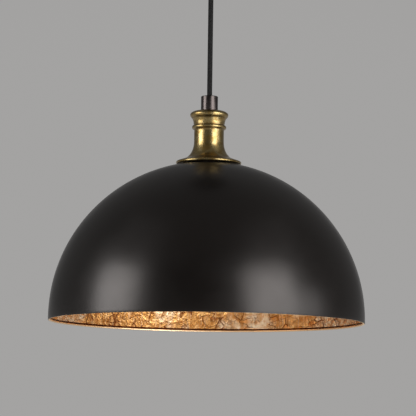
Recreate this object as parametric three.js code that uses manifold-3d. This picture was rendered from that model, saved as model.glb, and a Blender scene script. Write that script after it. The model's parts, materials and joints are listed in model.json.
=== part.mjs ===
// A pendant ceiling light: a hemispherical metal shade, leafed inside, under a turned brass cap,
// hung on a round cord from a cup against the ceiling.
// Millimetres, +Z up. The origin is the middle of the ceiling bracket's top face, which lies
// against the ceiling, and the light hangs below it on the Z axis.

import * as THREE from 'three';
import { mergeVertices } from 'three/addons/utils/BufferGeometryUtils.js';
import Module from 'manifold-3d';

const wasm = await Module();
wasm.setup();

// ---------------------------------------------------------------------------
// Driving sizes, in millimetres unless a comment says otherwise
// ---------------------------------------------------------------------------

const GAP = 0.3; // left between faces that touch, and round a screw in its hole

// Cord
const CORD_DIAMETER = 6.5;
const CORD_SPAN = 132; // free cord, from the outlet's mouth to the cord grip
const CORD_JACKET = 0.5;
const CORE_DIAMETER = 2;
const SWING_LIMIT = 30; // degrees that the cord can lean in the outlet's mouth

// Ceiling bracket and its two screws
const BRACKET_WIDTH = 20;
const BRACKET_THICKNESS = 2;
const BRACKET_EAR = 15; // height of the ears, from the ceiling down
const SLOT_PITCH = 80;
const SLOT_LENGTH = 12;
const SLOT_WIDTH = 5;
const CEILING_SCREW_DIAMETER = 4;
const CEILING_SCREW_LENGTH = 28;

// Canopy
const CANOPY_DIAMETER = 120;
const CANOPY_DEPTH = 26;
const CANOPY_WALL = 1.2;
const CANOPY_CORNER = 8;
const CANOPY_SCREW_DIAMETER = 4;
const CANOPY_SCREW_LENGTH = 8;
const CANOPY_SCREW_DEPTH = 9; // below the ceiling

// Cord outlet in the canopy, with its nut, and the stop that the cord hangs by
const OUTLET_DIAMETER = 22;
const OUTLET_DROP = 14;
const OUTLET_EDGE = 1;
const OUTLET_SHANK_DIAMETER = 10;
const OUTLET_SHANK_LENGTH = 8;
const OUTLET_NUT_WIDTH = 14;
const MOUTH_DEPTH = 7; // from the point where the cord bends to the outlet's mouth
const NUT_HEIGHT = 4;
const STOP_DIAMETER = 16;
const STOP_HEIGHT = 7;
const CORD_STUB = 1.5; // cord above the stop

// Terminal block and earth screw under the bracket
const BLOCK_SIZE = { x: 20, y: 16, z: 12 };
const BLOCK_CENTRE_X = 21;
const WAY_PITCH = 8;
const WAY_DIAMETER = 3.2;
const BLOCK_EARTH_X = -15;

// Small screws
const SMALL_SCREW_DIAMETER = 3;
const SET_SCREW_DIAMETER = 3;
const HEAD_SPREAD = 1.8; // head diameter over shank diameter
const HEAD_RISE = 0.55; // head height over shank diameter

// Cord grip, nipple and nut
const GRIP_DIAMETER = 21.6;
const GRIP_LENGTH = 18.4;
const GRIP_EDGE = 0.9;
const GRIP_SCREW_DEPTH = 5;
const NIPPLE_DIAMETER = 10;
const NIPPLE_IN_GRIP = 7;
const NIPPLE_REACH = 5; // below the top of the holder cap's inside
const NIPPLE_NUT_WIDTH = 14;

// Brass cap: depths are from its top face
const CAP_WALL = 1.2;
const CAP_TOP_THICKNESS = 1.5;
const CAP_FLAT_RADIUS = 12;
const CAP_LIP_RADIUS = 24.4;
const CAP_LIP_DEPTH = 5.3;
const CAP_LIP_END_RADIUS = 23.3;
const CAP_LIP_END_DEPTH = 8.5;
const CAP_COVE_RADIUS = 20.4; // of the bend between the lip and the waist
const CAP_COVE_DEPTH = 11.1;
const CAP_WAIST_RADIUS = 19.9;
const CAP_WAIST_DEPTH = 16.4;
const CAP_BEAD_RADIUS = 21.9;
const CAP_BEAD_DEPTH = 20.8;
const CAP_BEAD_HEIGHT = 5;
const CAP_BEAD_FILLET = 0.6;
const CAP_NECK_RADIUS = 19;
const CAP_NECK_END_DEPTH = 42;
const CAP_BEND_DEPTH = 45.6; // where the lines of the neck and the flare would meet
const CAP_FLARE_RADIUS = 28;
const CAP_FLARE_DEPTH = 61.4;
const FLANGE_RADIUS = 41.7;
const FLANGE_ROLL = 2; // radius of the rolled edge
const FLANGE_STANDOFF = 1.5; // rolled edge above the shade
const CROWN_CLEARANCE = 5.3; // from the end of the cap's flare down to the shade's crown

// Shade
const SHADE_RADIUS = 200;
const SHADE_WALL = 1.2;
const SHADE_SKIRT = 4; // straight wall under the hemisphere
const HEM_WIDTH = 2.6;
const HEM_HEIGHT = 2;
const LEAF_THICKNESS = 0.3;
const LEAF_MARGIN = 2; // bare metal round the shade ring

// Lampholder and shade ring
const HOLDER_PLAY = 0.8; // round the holder, inside the cap's neck
const HOLDER_BODY_HEIGHT = 28; // above its shoulder
const HOLDER_DROP = 4.5; // from the nipple nut down to the holder's cap
const HOLDER_CAP_WALL = 1.5;
const SHOULDER_WIDTH = 4.8; // beyond the skirt
const SHOULDER_THICKNESS = 3;
const SKIRT_RADIUS = 19.7;
const SKIRT_END = 3; // below the shade ring
const MOUTH_RADIUS = 16.5;
const MOUTH_STEP = 8; // length of the wide mouth
const WASHER_WIDTH = 7;
const WASHER_THICKNESS = 1.5;
const RING_WIDTH = 7;
const RING_HEIGHT = 8;
const CROWN_HOLE_PLAY = 0.6;
const CONTACT_BLOCK_HEIGHT = 8;
const TERMINAL_RADIUS = 9.5;
const SHELL_WALL = 0.5;
const SHELL_LENGTH = 30;
const THREAD_PLAY = 0.4;

// Centre contact, a spring tongue under the contact block
const TONGUE_WIDTH = 6;
const TONGUE_THICKNESS = 0.6;
const TONGUE_ROOT = 9; // from the axis
const TONGUE_TIP = 3; // past the axis
const TONGUE_DROP = 3;

// Bulb
const BULB_BASE_RADIUS = 13.1;
const BULB_BASE_LENGTH = 19;
const BULB_BASE_WALL = 0.4;
const BULB_TAPER = 4;
const BULB_CONTACT_RADIUS = 4.6;
const BULB_CONTACT_HEIGHT = 1.8;
const BULB_RADIUS = 30;
const BULB_LENGTH = 80; // glass below the base
const BULB_NECK_DROP = 6;
const GLASS_WALL = 0.8;
const GLASS_IN_BASE = 7;
const STEM_RADIUS = 2.6;
const STEM_LENGTH = 34;
const FILAMENT_DIAMETER = 1.2;
const FILAMENT_RADIUS = 9;

// Facets
const BIG_SEGMENTS = 40;
const CAP_SEGMENTS = 30;
const MEDIUM_SEGMENTS = 20;
const SMALL_SEGMENTS = 10;
const CORD_SIDES = 10;
const CORE_SIDES = 6;

// ---------------------------------------------------------------------------
// Sizes and heights worked out from the driving ones
// ---------------------------------------------------------------------------

const cordRadius = CORD_DIAMETER / 2;
const cordBore = cordRadius + GAP;
const coreRadius = CORE_DIAMETER / 2;
const coreOffset = cordRadius - CORD_JACKET - coreRadius;
const lean = THREE.MathUtils.degToRad(SWING_LIMIT);

// Heights in the whole light, from the ceiling
const canopyPlate = CANOPY_WALL - CANOPY_DEPTH;
const outletMouth = -CANOPY_DEPTH - OUTLET_DROP;
const swingPivot = outletMouth + MOUTH_DEPTH;
const shankTop = canopyPlate + OUTLET_SHANK_LENGTH;
const stopBottom = shankTop + GAP;
const stopTop = stopBottom + STOP_HEIGHT;
const cordTop = stopTop + CORD_STUB;

// Heights in the lamp, from the top of its cord grip
const capTop = -GRIP_LENGTH - GAP;
const crown = capTop - CAP_FLARE_DEPTH - CROWN_CLEARANCE;
const shadeCentre = crown - SHADE_RADIUS;
const shadeRim = shadeCentre - SHADE_SKIRT;
const crownHole = SKIRT_RADIUS + CROWN_HOLE_PLAY;
const washerBottom = sphereHeight(SHADE_RADIUS, crownHole) + GAP;
const shoulderBottom = washerBottom + WASHER_THICKNESS + GAP;
const shoulderTop = shoulderBottom + SHOULDER_THICKNESS;
const holderBodyTop = shoulderTop + HOLDER_BODY_HEIGHT;
const nippleNutBottom = capTop - CAP_TOP_THICKNESS - GAP - NUT_HEIGHT;
const holderCapTop = nippleNutBottom - HOLDER_DROP;
const ringOuter = SKIRT_RADIUS + GAP + RING_WIDTH;
const ringTop = sphereHeight(SHADE_RADIUS - SHADE_WALL, ringOuter) - GAP;
const ringBottom = ringTop - RING_HEIGHT;
const skirtBottom = ringBottom - SKIRT_END;
const nippleTop = -GRIP_LENGTH + NIPPLE_IN_GRIP;
const nippleBottom = holderCapTop - HOLDER_CAP_WALL - NIPPLE_REACH;
const contactBlockBottom = holderBodyTop - CONTACT_BLOCK_HEIGHT;

// Radii that fit round the bulb's base
const shellInner = BULB_BASE_RADIUS + THREAD_PLAY;
const shellOuter = shellInner + SHELL_WALL;
const holderBore = shellOuter + GAP;
const holderRadius = CAP_NECK_RADIUS - CAP_WALL - HOLDER_PLAY;

// Bulb heights
const tongueTop = contactBlockBottom - GAP;
const bulbTip = tongueTop - TONGUE_DROP - TONGUE_THICKNESS - GAP;
const bulbBaseTop = bulbTip - BULB_CONTACT_HEIGHT - BULB_TAPER;
const bulbBaseBottom = bulbBaseTop - BULB_BASE_LENGTH;

// Height in the lamp of a sphere round the shade's centre, at a distance from the axis
function sphereHeight(radius, distance) {
  return shadeCentre + Math.sqrt(radius ** 2 - distance ** 2);
}

// ---------------------------------------------------------------------------
// Finishes
// ---------------------------------------------------------------------------

function finish(color, roughness, metalness) {
  return new THREE.MeshStandardMaterial({ color, roughness, metalness });
}

const darkPaint = finish(0x1d1815, 0.4, 0.3);
const leaf = finish(0xc48a55, 0.35, 0.9);
const brass = finish(0x9c7f3f, 0.3, 1);
const bronze = finish(0x4a3f3d, 0.25, 1);
const steel = finish(0xb4b6b8, 0.4, 1);
const blackPlastic = finish(0x141414, 0.5, 0);
const ceramic = finish(0xe8e4da, 0.4, 0);
const fibre = finish(0x3a3431, 0.9, 0);
const cordCover = finish(0x1a1a1a, 0.85, 0);
const liveCover = finish(0x5a3a22, 0.6, 0);
const neutralCover = finish(0x2a4a80, 0.6, 0);
const earthCover = finish(0x5d8a3a, 0.6, 0);
const contactBrass = finish(0xb99a58, 0.35, 1);
const clearGlass = finish(0xf2e6cf, 0.05, 0);
const filamentWire = finish(0xd9a35a, 0.4, 0.6);

// ---------------------------------------------------------------------------
// Shapes
// ---------------------------------------------------------------------------

// Keeps only the positions, joins the points that meet and drops triangles with no area
function closed(geometry) {
  geometry.deleteAttribute('normal');
  geometry.deleteAttribute('uv');
  const merged = mergeVertices(geometry, 1e-4);
  const index = merged.getIndex().array;
  const kept = [];
  for (let i = 0; i < index.length; i += 3) {
    const [a, b, c] = index.slice(i, i + 3);
    if (a !== b && b !== c && c !== a) kept.push(a, b, c);
  }
  merged.setIndex(kept);
  return merged;
}

// Turns every face round
function flipped(geometry) {
  const index = Array.from(geometry.getIndex().array);
  for (let i = 0; i < index.length; i += 3) [index[i], index[i + 1]] = [index[i + 1], index[i]];
  geometry.setIndex(index);
  return geometry;
}

// Six times the volume inside a closed mesh: negative when its faces point inwards
function signedVolume(geometry) {
  const position = geometry.getAttribute('position');
  const index = geometry.getIndex().array;
  const [a, b, c] = [0, 1, 2].map(() => new THREE.Vector3());
  let sum = 0;
  for (let i = 0; i < index.length; i += 3) {
    a.fromBufferAttribute(position, index[i]);
    b.fromBufferAttribute(position, index[i + 1]);
    c.fromBufferAttribute(position, index[i + 2]);
    sum += a.dot(b.cross(c));
  }
  return sum;
}

function outward(geometry) {
  const merged = closed(geometry);
  return signedVolume(merged) < 0 ? flipped(merged) : merged;
}

// A body of revolution about Z, from an outline of (distance from the axis, height)
function turned(outline, segments, curveSteps = 6) {
  const geometry = new THREE.LatheGeometry(outline.getPoints(curveSteps), segments);
  geometry.rotateX(Math.PI / 2);
  return outward(geometry);
}

function outlineOf(points) {
  const outline = new THREE.Path();
  outline.setFromPoints(points.map(([x, y]) => new THREE.Vector2(x, y)));
  return outline;
}

// A plain ring or tube between two heights
function ring(inner, outer, bottom, top, segments) {
  const outline = outlineOf([[inner, bottom], [outer, bottom], [outer, top], [inner, top]]);
  outline.closePath();
  return turned(outline, segments);
}

// A plain round bar between two heights
function bar(radius, bottom, top, segments) {
  const geometry = new THREE.CylinderGeometry(radius, radius, top - bottom, segments);
  geometry.rotateX(Math.PI / 2);
  geometry.translate(0, 0, (bottom + top) / 2);
  return outward(geometry);
}

// A pan-head screw, its head below z = 0 and its shank above
function screw(diameter, length) {
  const head = (diameter * HEAD_SPREAD) / 2;
  const rise = diameter * HEAD_RISE;
  const outline = new THREE.Path();
  outline.moveTo(0, length);
  outline.lineTo(diameter / 2, length);
  outline.lineTo(diameter / 2, 0);
  outline.lineTo(head, 0);
  outline.quadraticCurveTo(head, -rise, head / 2, -rise);
  outline.lineTo(0, -rise);
  return turned(outline, SMALL_SEGMENTS, 2);
}

// A hexagon nut with a round bore, standing on z = 0
function nut(width, bore, height) {
  const shape = new THREE.Shape();
  const corner = width / Math.sqrt(3);
  for (let i = 0; i < 6; i++) {
    const angle = (i * Math.PI) / 3;
    const [x, y] = [corner * Math.cos(angle), corner * Math.sin(angle)];
    if (i === 0) shape.moveTo(x, y);
    else shape.lineTo(x, y);
  }
  shape.holes.push(new THREE.Path().absarc(0, 0, bore, 0, 2 * Math.PI));
  return outward(new THREE.ExtrudeGeometry(shape, {
    depth: height,
    bevelEnabled: false,
    curveSegments: SMALL_SEGMENTS,
  }));
}

// A round tube filled along a smooth path
function tube(points, radius, sides, steps) {
  const section = new THREE.Shape();
  for (let i = 0; i < sides; i++) {
    const angle = (i * 2 * Math.PI) / sides;
    const [x, y] = [radius * Math.cos(angle), radius * Math.sin(angle)];
    if (i === 0) section.moveTo(x, y);
    else section.lineTo(x, y);
  }
  const route = points.map(([x, y, z]) => new THREE.Vector3(x, y, z));
  const extrudePath = new THREE.CatmullRomCurve3(route, false, 'centripetal');
  return outward(new THREE.ExtrudeGeometry(section, { steps, bevelEnabled: false, extrudePath }));
}

// ---------------------------------------------------------------------------
// Cuts and joins
// ---------------------------------------------------------------------------

function toManifold(geometry) {
  const vertProperties = new Float32Array(geometry.getAttribute('position').array);
  const triVerts = new Uint32Array(geometry.getIndex().array);
  return new wasm.Manifold(new wasm.Mesh({ numProp: 3, vertProperties, triVerts }));
}

function fromManifold(manifold) {
  const mesh = manifold.getMesh();
  const geometry = new THREE.BufferGeometry();
  geometry.setAttribute('position', new THREE.BufferAttribute(mesh.vertProperties, 3));
  geometry.setIndex(Array.from(mesh.triVerts));
  return geometry;
}

function cut(geometry, ...tools) {
  const solid = tools.reduce((left, tool) => left.subtract(toManifold(tool)), toManifold(geometry));
  return fromManifold(solid);
}

function join(geometry, ...others) {
  const solid = others.reduce((sum, other) => sum.add(toManifold(other)), toManifold(geometry));
  return fromManifold(solid);
}

// A drill of a radius through a point along X, Y or Z
function drill(radius, along, centre, length) {
  const geometry = new THREE.CylinderGeometry(radius, radius, length, SMALL_SEGMENTS);
  if (along === 'x') geometry.rotateZ(Math.PI / 2);
  if (along === 'z') geometry.rotateX(Math.PI / 2);
  geometry.translate(...centre);
  return outward(geometry);
}

function add(parent, name, geometry, material) {
  const mesh = new THREE.Mesh(geometry, material);
  mesh.name = name;
  parent.add(mesh);
  return mesh;
}

// ---------------------------------------------------------------------------
// Ceiling fitting
// ---------------------------------------------------------------------------

// The ears stand just inside the canopy's round wall
const earFace = Math.sqrt((CANOPY_DIAMETER / 2 - CANOPY_WALL) ** 2 - (BRACKET_WIDTH / 2) ** 2) - GAP;

function mountingBracket() {
  const inner = earFace - BRACKET_THICKNESS;
  const shape = new THREE.Shape();
  shape.moveTo(-earFace, -BRACKET_EAR);
  shape.lineTo(-inner, -BRACKET_EAR);
  shape.lineTo(-inner, -BRACKET_THICKNESS);
  shape.lineTo(inner, -BRACKET_THICKNESS);
  shape.lineTo(inner, -BRACKET_EAR);
  shape.lineTo(earFace, -BRACKET_EAR);
  shape.lineTo(earFace, -BRACKET_THICKNESS);
  shape.quadraticCurveTo(earFace, 0, earFace - BRACKET_THICKNESS, 0);
  shape.lineTo(BRACKET_THICKNESS - earFace, 0);
  shape.quadraticCurveTo(-earFace, 0, -earFace, -BRACKET_THICKNESS);
  const strap = new THREE.ExtrudeGeometry(shape, {
    depth: BRACKET_WIDTH,
    bevelEnabled: false,
    curveSegments: 4,
  });
  strap.rotateX(Math.PI / 2);
  strap.translate(0, BRACKET_WIDTH / 2, 0);
  const tools = [-1, 1].map((side) => slotCutter(side * SLOT_PITCH / 2));
  const through = 2 * CANOPY_DIAMETER;
  tools.push(drill(CANOPY_SCREW_DIAMETER / 2 + GAP, 'x', [0, 0, -CANOPY_SCREW_DEPTH], through));
  for (const x of [BLOCK_CENTRE_X, BLOCK_EARTH_X]) {
    tools.push(drill(SMALL_SCREW_DIAMETER / 2 + GAP, 'z', [x, 0, 0], 3 * BRACKET_THICKNESS));
  }
  return cut(outward(strap), ...tools);
}

function slotCutter(x) {
  const half = (SLOT_LENGTH - SLOT_WIDTH) / 2;
  const shape = new THREE.Shape();
  shape.absarc(half, 0, SLOT_WIDTH / 2, -Math.PI / 2, Math.PI / 2);
  shape.absarc(-half, 0, SLOT_WIDTH / 2, Math.PI / 2, (3 * Math.PI) / 2);
  const cutter = new THREE.ExtrudeGeometry(shape, {
    depth: 3 * BRACKET_THICKNESS,
    bevelEnabled: false,
    curveSegments: 6,
  });
  cutter.translate(x, 0, -2 * BRACKET_THICKNESS);
  return outward(cutter);
}

function canopy() {
  const outer = CANOPY_DIAMETER / 2;
  const inner = outer - CANOPY_WALL;
  const hole = OUTLET_SHANK_DIAMETER / 2 + GAP;
  const outline = new THREE.Path();
  outline.moveTo(outer, 0);
  outline.lineTo(outer, CANOPY_CORNER - CANOPY_DEPTH);
  outline.absarc(outer - CANOPY_CORNER, CANOPY_CORNER - CANOPY_DEPTH, CANOPY_CORNER, 0, -Math.PI / 2, true);
  outline.lineTo(hole, -CANOPY_DEPTH);
  outline.lineTo(hole, canopyPlate);
  outline.absarc(
    outer - CANOPY_CORNER,
    CANOPY_CORNER - CANOPY_DEPTH,
    CANOPY_CORNER - CANOPY_WALL,
    -Math.PI / 2,
    0,
    false,
  );
  outline.lineTo(inner, 0);
  outline.closePath();
  const screwHoles = drill(
    CANOPY_SCREW_DIAMETER / 2 + GAP,
    'x',
    [0, 0, -CANOPY_SCREW_DEPTH],
    2 * CANOPY_DIAMETER,
  );
  return cut(turned(outline, BIG_SEGMENTS, 3), screwHoles);
}

// The outlet's bore opens into a cone, in which the cord can lean to its limit
function cordOutlet() {
  const shank = OUTLET_SHANK_DIAMETER / 2;
  const outer = OUTLET_DIAMETER / 2;
  const top = -CANOPY_DEPTH - GAP;
  const atPivot = cordRadius / Math.cos(lean) + GAP;
  const atMouth = atPivot + MOUTH_DEPTH * Math.tan(lean);
  const outline = outlineOf([
    [cordBore, shankTop],
    [cordBore, swingPivot + (atPivot - cordBore) / Math.tan(lean)],
    [atMouth, outletMouth],
    [outer - OUTLET_EDGE, outletMouth],
    [outer, outletMouth + OUTLET_EDGE],
    [outer, top],
    [shank, top],
    [shank, shankTop],
  ]);
  outline.closePath();
  return turned(outline, MEDIUM_SEGMENTS);
}

function cordStop() {
  const centre = (stopBottom + stopTop) / 2;
  const collar = ring(cordBore, STOP_DIAMETER / 2, stopBottom, stopTop, MEDIUM_SEGMENTS);
  return cut(collar, drill(
    SET_SCREW_DIAMETER / 2 + GAP,
    'y',
    [0, -STOP_DIAMETER / 2, centre],
    STOP_DIAMETER,
  ));
}

const blockTop = -BRACKET_THICKNESS - GAP;
const blockBottom = blockTop - BLOCK_SIZE.z;
const blockWay = blockTop - BLOCK_SIZE.z / 3;
const blockFace = BLOCK_CENTRE_X - BLOCK_SIZE.x / 2;

// Places of the four clamping screws, two on each way
function terminalPlaces() {
  const places = [];
  for (const x of [-1, 1]) {
    for (const y of [-1, 1]) {
      places.push([BLOCK_CENTRE_X + (x * BLOCK_SIZE.x) / 4, (y * WAY_PITCH) / 2]);
    }
  }
  return places;
}

function terminalBlock() {
  const block = new THREE.BoxGeometry(BLOCK_SIZE.x, BLOCK_SIZE.y, BLOCK_SIZE.z);
  block.translate(BLOCK_CENTRE_X, 0, (blockTop + blockBottom) / 2);
  const hole = SMALL_SCREW_DIAMETER / 2 + GAP;
  const tools = [drill(hole, 'z', [BLOCK_CENTRE_X, 0, blockTop], 3 * BLOCK_SIZE.z)];
  for (const side of [-1, 1]) {
    const way = [BLOCK_CENTRE_X, (side * WAY_PITCH) / 2, blockWay];
    tools.push(drill(WAY_DIAMETER / 2, 'x', way, 2 * BLOCK_SIZE.x));
  }
  for (const [x, y] of terminalPlaces()) {
    const depth = blockWay - blockBottom;
    tools.push(drill(hole, 'z', [x, y, blockBottom], 2 * depth));
  }
  return cut(outward(block), ...tools);
}

// A core from the cord's top, over and down to where it is clamped
function ceilingCore(angle, ...route) {
  const [x, y] = [coreOffset * Math.cos(angle), coreOffset * Math.sin(angle)];
  const start = cordTop + GAP;
  return tube([[x, y, start], [x, y, start + coreRadius], ...route], coreRadius, CORE_SIDES, 14);
}

function buildCeilingFitting(parent) {
  add(parent, 'mounting_bracket', mountingBracket(), steel);
  for (const [side, name] of [[-1, 'left'], [1, 'right']]) {
    const fixing = screw(CEILING_SCREW_DIAMETER, CEILING_SCREW_LENGTH);
    const ceilingScrew = add(parent, `ceiling_screw_${name}`, fixing, steel);
    ceilingScrew.position.set((side * SLOT_PITCH) / 2, 0, -BRACKET_THICKNESS - GAP);
    const sideScrew = screw(CANOPY_SCREW_DIAMETER, CANOPY_SCREW_LENGTH);
    const canopyScrew = add(parent, `canopy_screw_${name}`, sideScrew, bronze);
    canopyScrew.rotation.y = (-side * Math.PI) / 2;
    canopyScrew.position.set(side * (CANOPY_DIAMETER / 2 + GAP), 0, -CANOPY_SCREW_DEPTH);
  }
  add(parent, 'canopy', canopy(), darkPaint);
  add(parent, 'cord_outlet', cordOutlet(), bronze);
  const shank = OUTLET_SHANK_DIAMETER / 2;
  const outletNut = add(parent, 'outlet_nut', nut(OUTLET_NUT_WIDTH, shank + GAP, NUT_HEIGHT), steel);
  outletNut.position.z = canopyPlate + GAP;
  add(parent, 'cord_stop', cordStop(), steel);
  const stopScrewLength = STOP_DIAMETER / 2 - cordBore;
  const stopScrewShape = bar(SET_SCREW_DIAMETER / 2, 0, stopScrewLength, SMALL_SEGMENTS);
  const stopScrew = add(parent, 'stop_screw', stopScrewShape, steel);
  stopScrew.rotation.x = Math.PI / 2;
  stopScrew.position.set(0, -cordBore, (stopBottom + stopTop) / 2);

  add(parent, 'terminal_block', terminalBlock(), ceramic);
  const throughBlock = BLOCK_SIZE.z + BRACKET_THICKNESS + GAP;
  const blockScrew = add(parent, 'block_screw', screw(SMALL_SCREW_DIAMETER, throughBlock), steel);
  blockScrew.position.set(BLOCK_CENTRE_X, 0, blockBottom - GAP);
  const clampLength = blockWay - WAY_DIAMETER / 2 - blockBottom;
  terminalPlaces().forEach(([x, y], i) => {
    const clamp = screw(SMALL_SCREW_DIAMETER, clampLength);
    const terminalScrew = add(parent, `terminal_screw_${i + 1}`, clamp, contactBrass);
    terminalScrew.position.set(x, y, blockBottom - GAP);
  });
  const earthScrewShape = screw(SMALL_SCREW_DIAMETER, BRACKET_THICKNESS);
  const earthScrew = add(parent, 'bracket_earth_screw', earthScrewShape, contactBrass);
  earthScrew.position.set(BLOCK_EARTH_X, 0, -BRACKET_THICKNESS - GAP);

  const high = -BRACKET_THICKNESS - GAP - coreRadius;
  const wayY = WAY_PITCH / 2;
  for (const [side, name, cover] of [[1, 'live', liveCover], [-1, 'neutral', neutralCover]]) {
    const core = ceilingCore(
      (side * Math.PI) / 4,
      [blockFace / 2, side * wayY * 0.8, (high + cordTop) / 2],
      [blockFace - 2, side * wayY, blockWay],
      [blockFace, side * wayY, blockWay],
      [blockFace + BLOCK_SIZE.x / 5, side * wayY, blockWay],
    );
    add(parent, `ceiling_${name}_core`, core, cover);
  }
  const headEdge = BLOCK_EARTH_X + (SMALL_SCREW_DIAMETER * HEAD_SPREAD) / 2 + GAP;
  const earthCore = ceilingCore(Math.PI, [-4, 0, high - 1], [-8, 0, high], [headEdge, 0, high]);
  add(parent, 'ceiling_earth_core', earthCore, earthCover);
}

// ---------------------------------------------------------------------------
// Cord
// ---------------------------------------------------------------------------

function straightCord(bottom, top) {
  const steps = Math.max(1, Math.round((top - bottom) / (2.5 * CORD_DIAMETER)));
  return tube([[0, 0, bottom], [0, 0, (bottom + top) / 2], [0, 0, top]], cordRadius, CORD_SIDES, steps);
}

// The free cord's top is round about the point where it bends, so it can lean in the outlet
function hangingCord(bottom, top) {
  const end = new THREE.SphereGeometry(cordRadius, CORD_SIDES, 8);
  end.rotateX(Math.PI / 2);
  end.translate(0, 0, top);
  return join(straightCord(bottom, top), outward(end));
}

// ---------------------------------------------------------------------------
// Lamp: cord grip, brass cap and shade
// ---------------------------------------------------------------------------

function cordGrip() {
  const outer = GRIP_DIAMETER / 2;
  const counterbore = NIPPLE_DIAMETER / 2 + GAP;
  const outline = outlineOf([
    [cordBore, 0],
    [outer - GRIP_EDGE, 0],
    [outer, -GRIP_EDGE],
    [outer, -GRIP_LENGTH],
    [counterbore, -GRIP_LENGTH],
    [counterbore, nippleTop + GAP],
    [cordBore, nippleTop + GAP],
  ]);
  outline.closePath();
  const hole = drill(SET_SCREW_DIAMETER / 2 + GAP, 'y', [0, outer, -GRIP_SCREW_DEPTH], 2 * outer);
  return cut(turned(outline, MEDIUM_SEGMENTS), hole);
}

// The cap is one spun piece: rounded lip, waist, bead, neck and flare, and a flange whose rolled
// edge stands a little above the shade
function brassCap() {
  const down = (depth) => capTop - depth;
  const roll = FLANGE_RADIUS - FLANGE_ROLL;
  const rollHeight = sphereHeight(SHADE_RADIUS, roll) + FLANGE_STANDOFF + FLANGE_ROLL;
  const bead = { half: CAP_BEAD_HEIGHT / 2, root: (CAP_WAIST_RADIUS + CAP_NECK_RADIUS) / 2 };
  const hole = NIPPLE_DIAMETER / 2 + GAP;
  const neckInside = CAP_NECK_RADIUS - CAP_WALL;
  const outline = new THREE.Path();
  outline.moveTo(hole, capTop);
  outline.lineTo(CAP_FLAT_RADIUS, capTop);
  outline.absellipse(
    CAP_FLAT_RADIUS,
    down(CAP_LIP_DEPTH),
    CAP_LIP_RADIUS - CAP_FLAT_RADIUS,
    CAP_LIP_DEPTH,
    Math.PI / 2,
    0,
    true,
  );
  outline.quadraticCurveTo(
    CAP_LIP_RADIUS,
    down((CAP_LIP_DEPTH + CAP_LIP_END_DEPTH) / 2),
    CAP_LIP_END_RADIUS,
    down(CAP_LIP_END_DEPTH),
  );
  outline.quadraticCurveTo(
    CAP_COVE_RADIUS,
    down(CAP_COVE_DEPTH),
    CAP_WAIST_RADIUS,
    down(CAP_WAIST_DEPTH),
  );
  outline.lineTo(bead.root, down(CAP_BEAD_DEPTH - bead.half));
  outline.absellipse(
    bead.root,
    down(CAP_BEAD_DEPTH),
    CAP_BEAD_RADIUS - bead.root,
    bead.half,
    Math.PI / 2,
    -Math.PI / 2,
    true,
  );
  outline.lineTo(CAP_NECK_RADIUS, down(CAP_BEAD_DEPTH + bead.half + CAP_BEAD_FILLET));
  outline.lineTo(CAP_NECK_RADIUS, down(CAP_NECK_END_DEPTH));
  outline.quadraticCurveTo(
    CAP_NECK_RADIUS,
    down(CAP_BEND_DEPTH),
    CAP_FLARE_RADIUS,
    down(CAP_FLARE_DEPTH),
  );
  outline.lineTo(roll, rollHeight + FLANGE_ROLL);
  outline.absarc(roll, rollHeight, FLANGE_ROLL, Math.PI / 2, -Math.PI, true);
  outline.lineTo(CAP_FLARE_RADIUS - CAP_WALL, down(CAP_FLARE_DEPTH) - CAP_WALL);
  outline.quadraticCurveTo(
    neckInside,
    down(CAP_BEND_DEPTH),
    neckInside,
    down(CAP_NECK_END_DEPTH),
  );
  outline.lineTo(neckInside, down(CAP_TOP_THICKNESS));
  outline.lineTo(hole, down(CAP_TOP_THICKNESS));
  outline.closePath();
  return turned(outline, CAP_SEGMENTS, 3);
}

// A hemisphere with a short straight skirt and a hem folded to the inside, holed at the crown
function shade() {
  const inner = SHADE_RADIUS - SHADE_WALL;
  const hemInner = SHADE_RADIUS - HEM_WIDTH;
  const outline = new THREE.Path();
  outline.moveTo(SHADE_RADIUS, shadeRim);
  outline.lineTo(SHADE_RADIUS, shadeCentre);
  outline.absarc(0, shadeCentre, SHADE_RADIUS, 0, Math.acos(crownHole / SHADE_RADIUS), false);
  outline.lineTo(crownHole, sphereHeight(inner, crownHole));
  outline.absarc(0, shadeCentre, inner, Math.acos(crownHole / inner), 0, true);
  outline.lineTo(inner, shadeRim + HEM_HEIGHT + SHADE_WALL);
  outline.lineTo(hemInner, shadeRim + HEM_HEIGHT);
  outline.lineTo(hemInner, shadeRim);
  outline.closePath();
  return turned(outline, BIG_SEGMENTS, 8);
}

// The leaf stops short of the shade ring above and of the hem below
function leafLining() {
  const outer = SHADE_RADIUS - SHADE_WALL - GAP;
  const inner = outer - LEAF_THICKNESS;
  const edge = ringOuter + LEAF_MARGIN;
  const bottom = shadeRim + HEM_HEIGHT + SHADE_WALL + GAP;
  const outline = new THREE.Path();
  outline.moveTo(outer, bottom);
  outline.lineTo(outer, shadeCentre);
  outline.absarc(0, shadeCentre, outer, 0, Math.acos(edge / outer), false);
  outline.absarc(0, shadeCentre, inner, Math.acos(edge / inner), 0, true);
  outline.lineTo(inner, bottom);
  outline.closePath();
  return turned(outline, BIG_SEGMENTS, 8);
}

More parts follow.
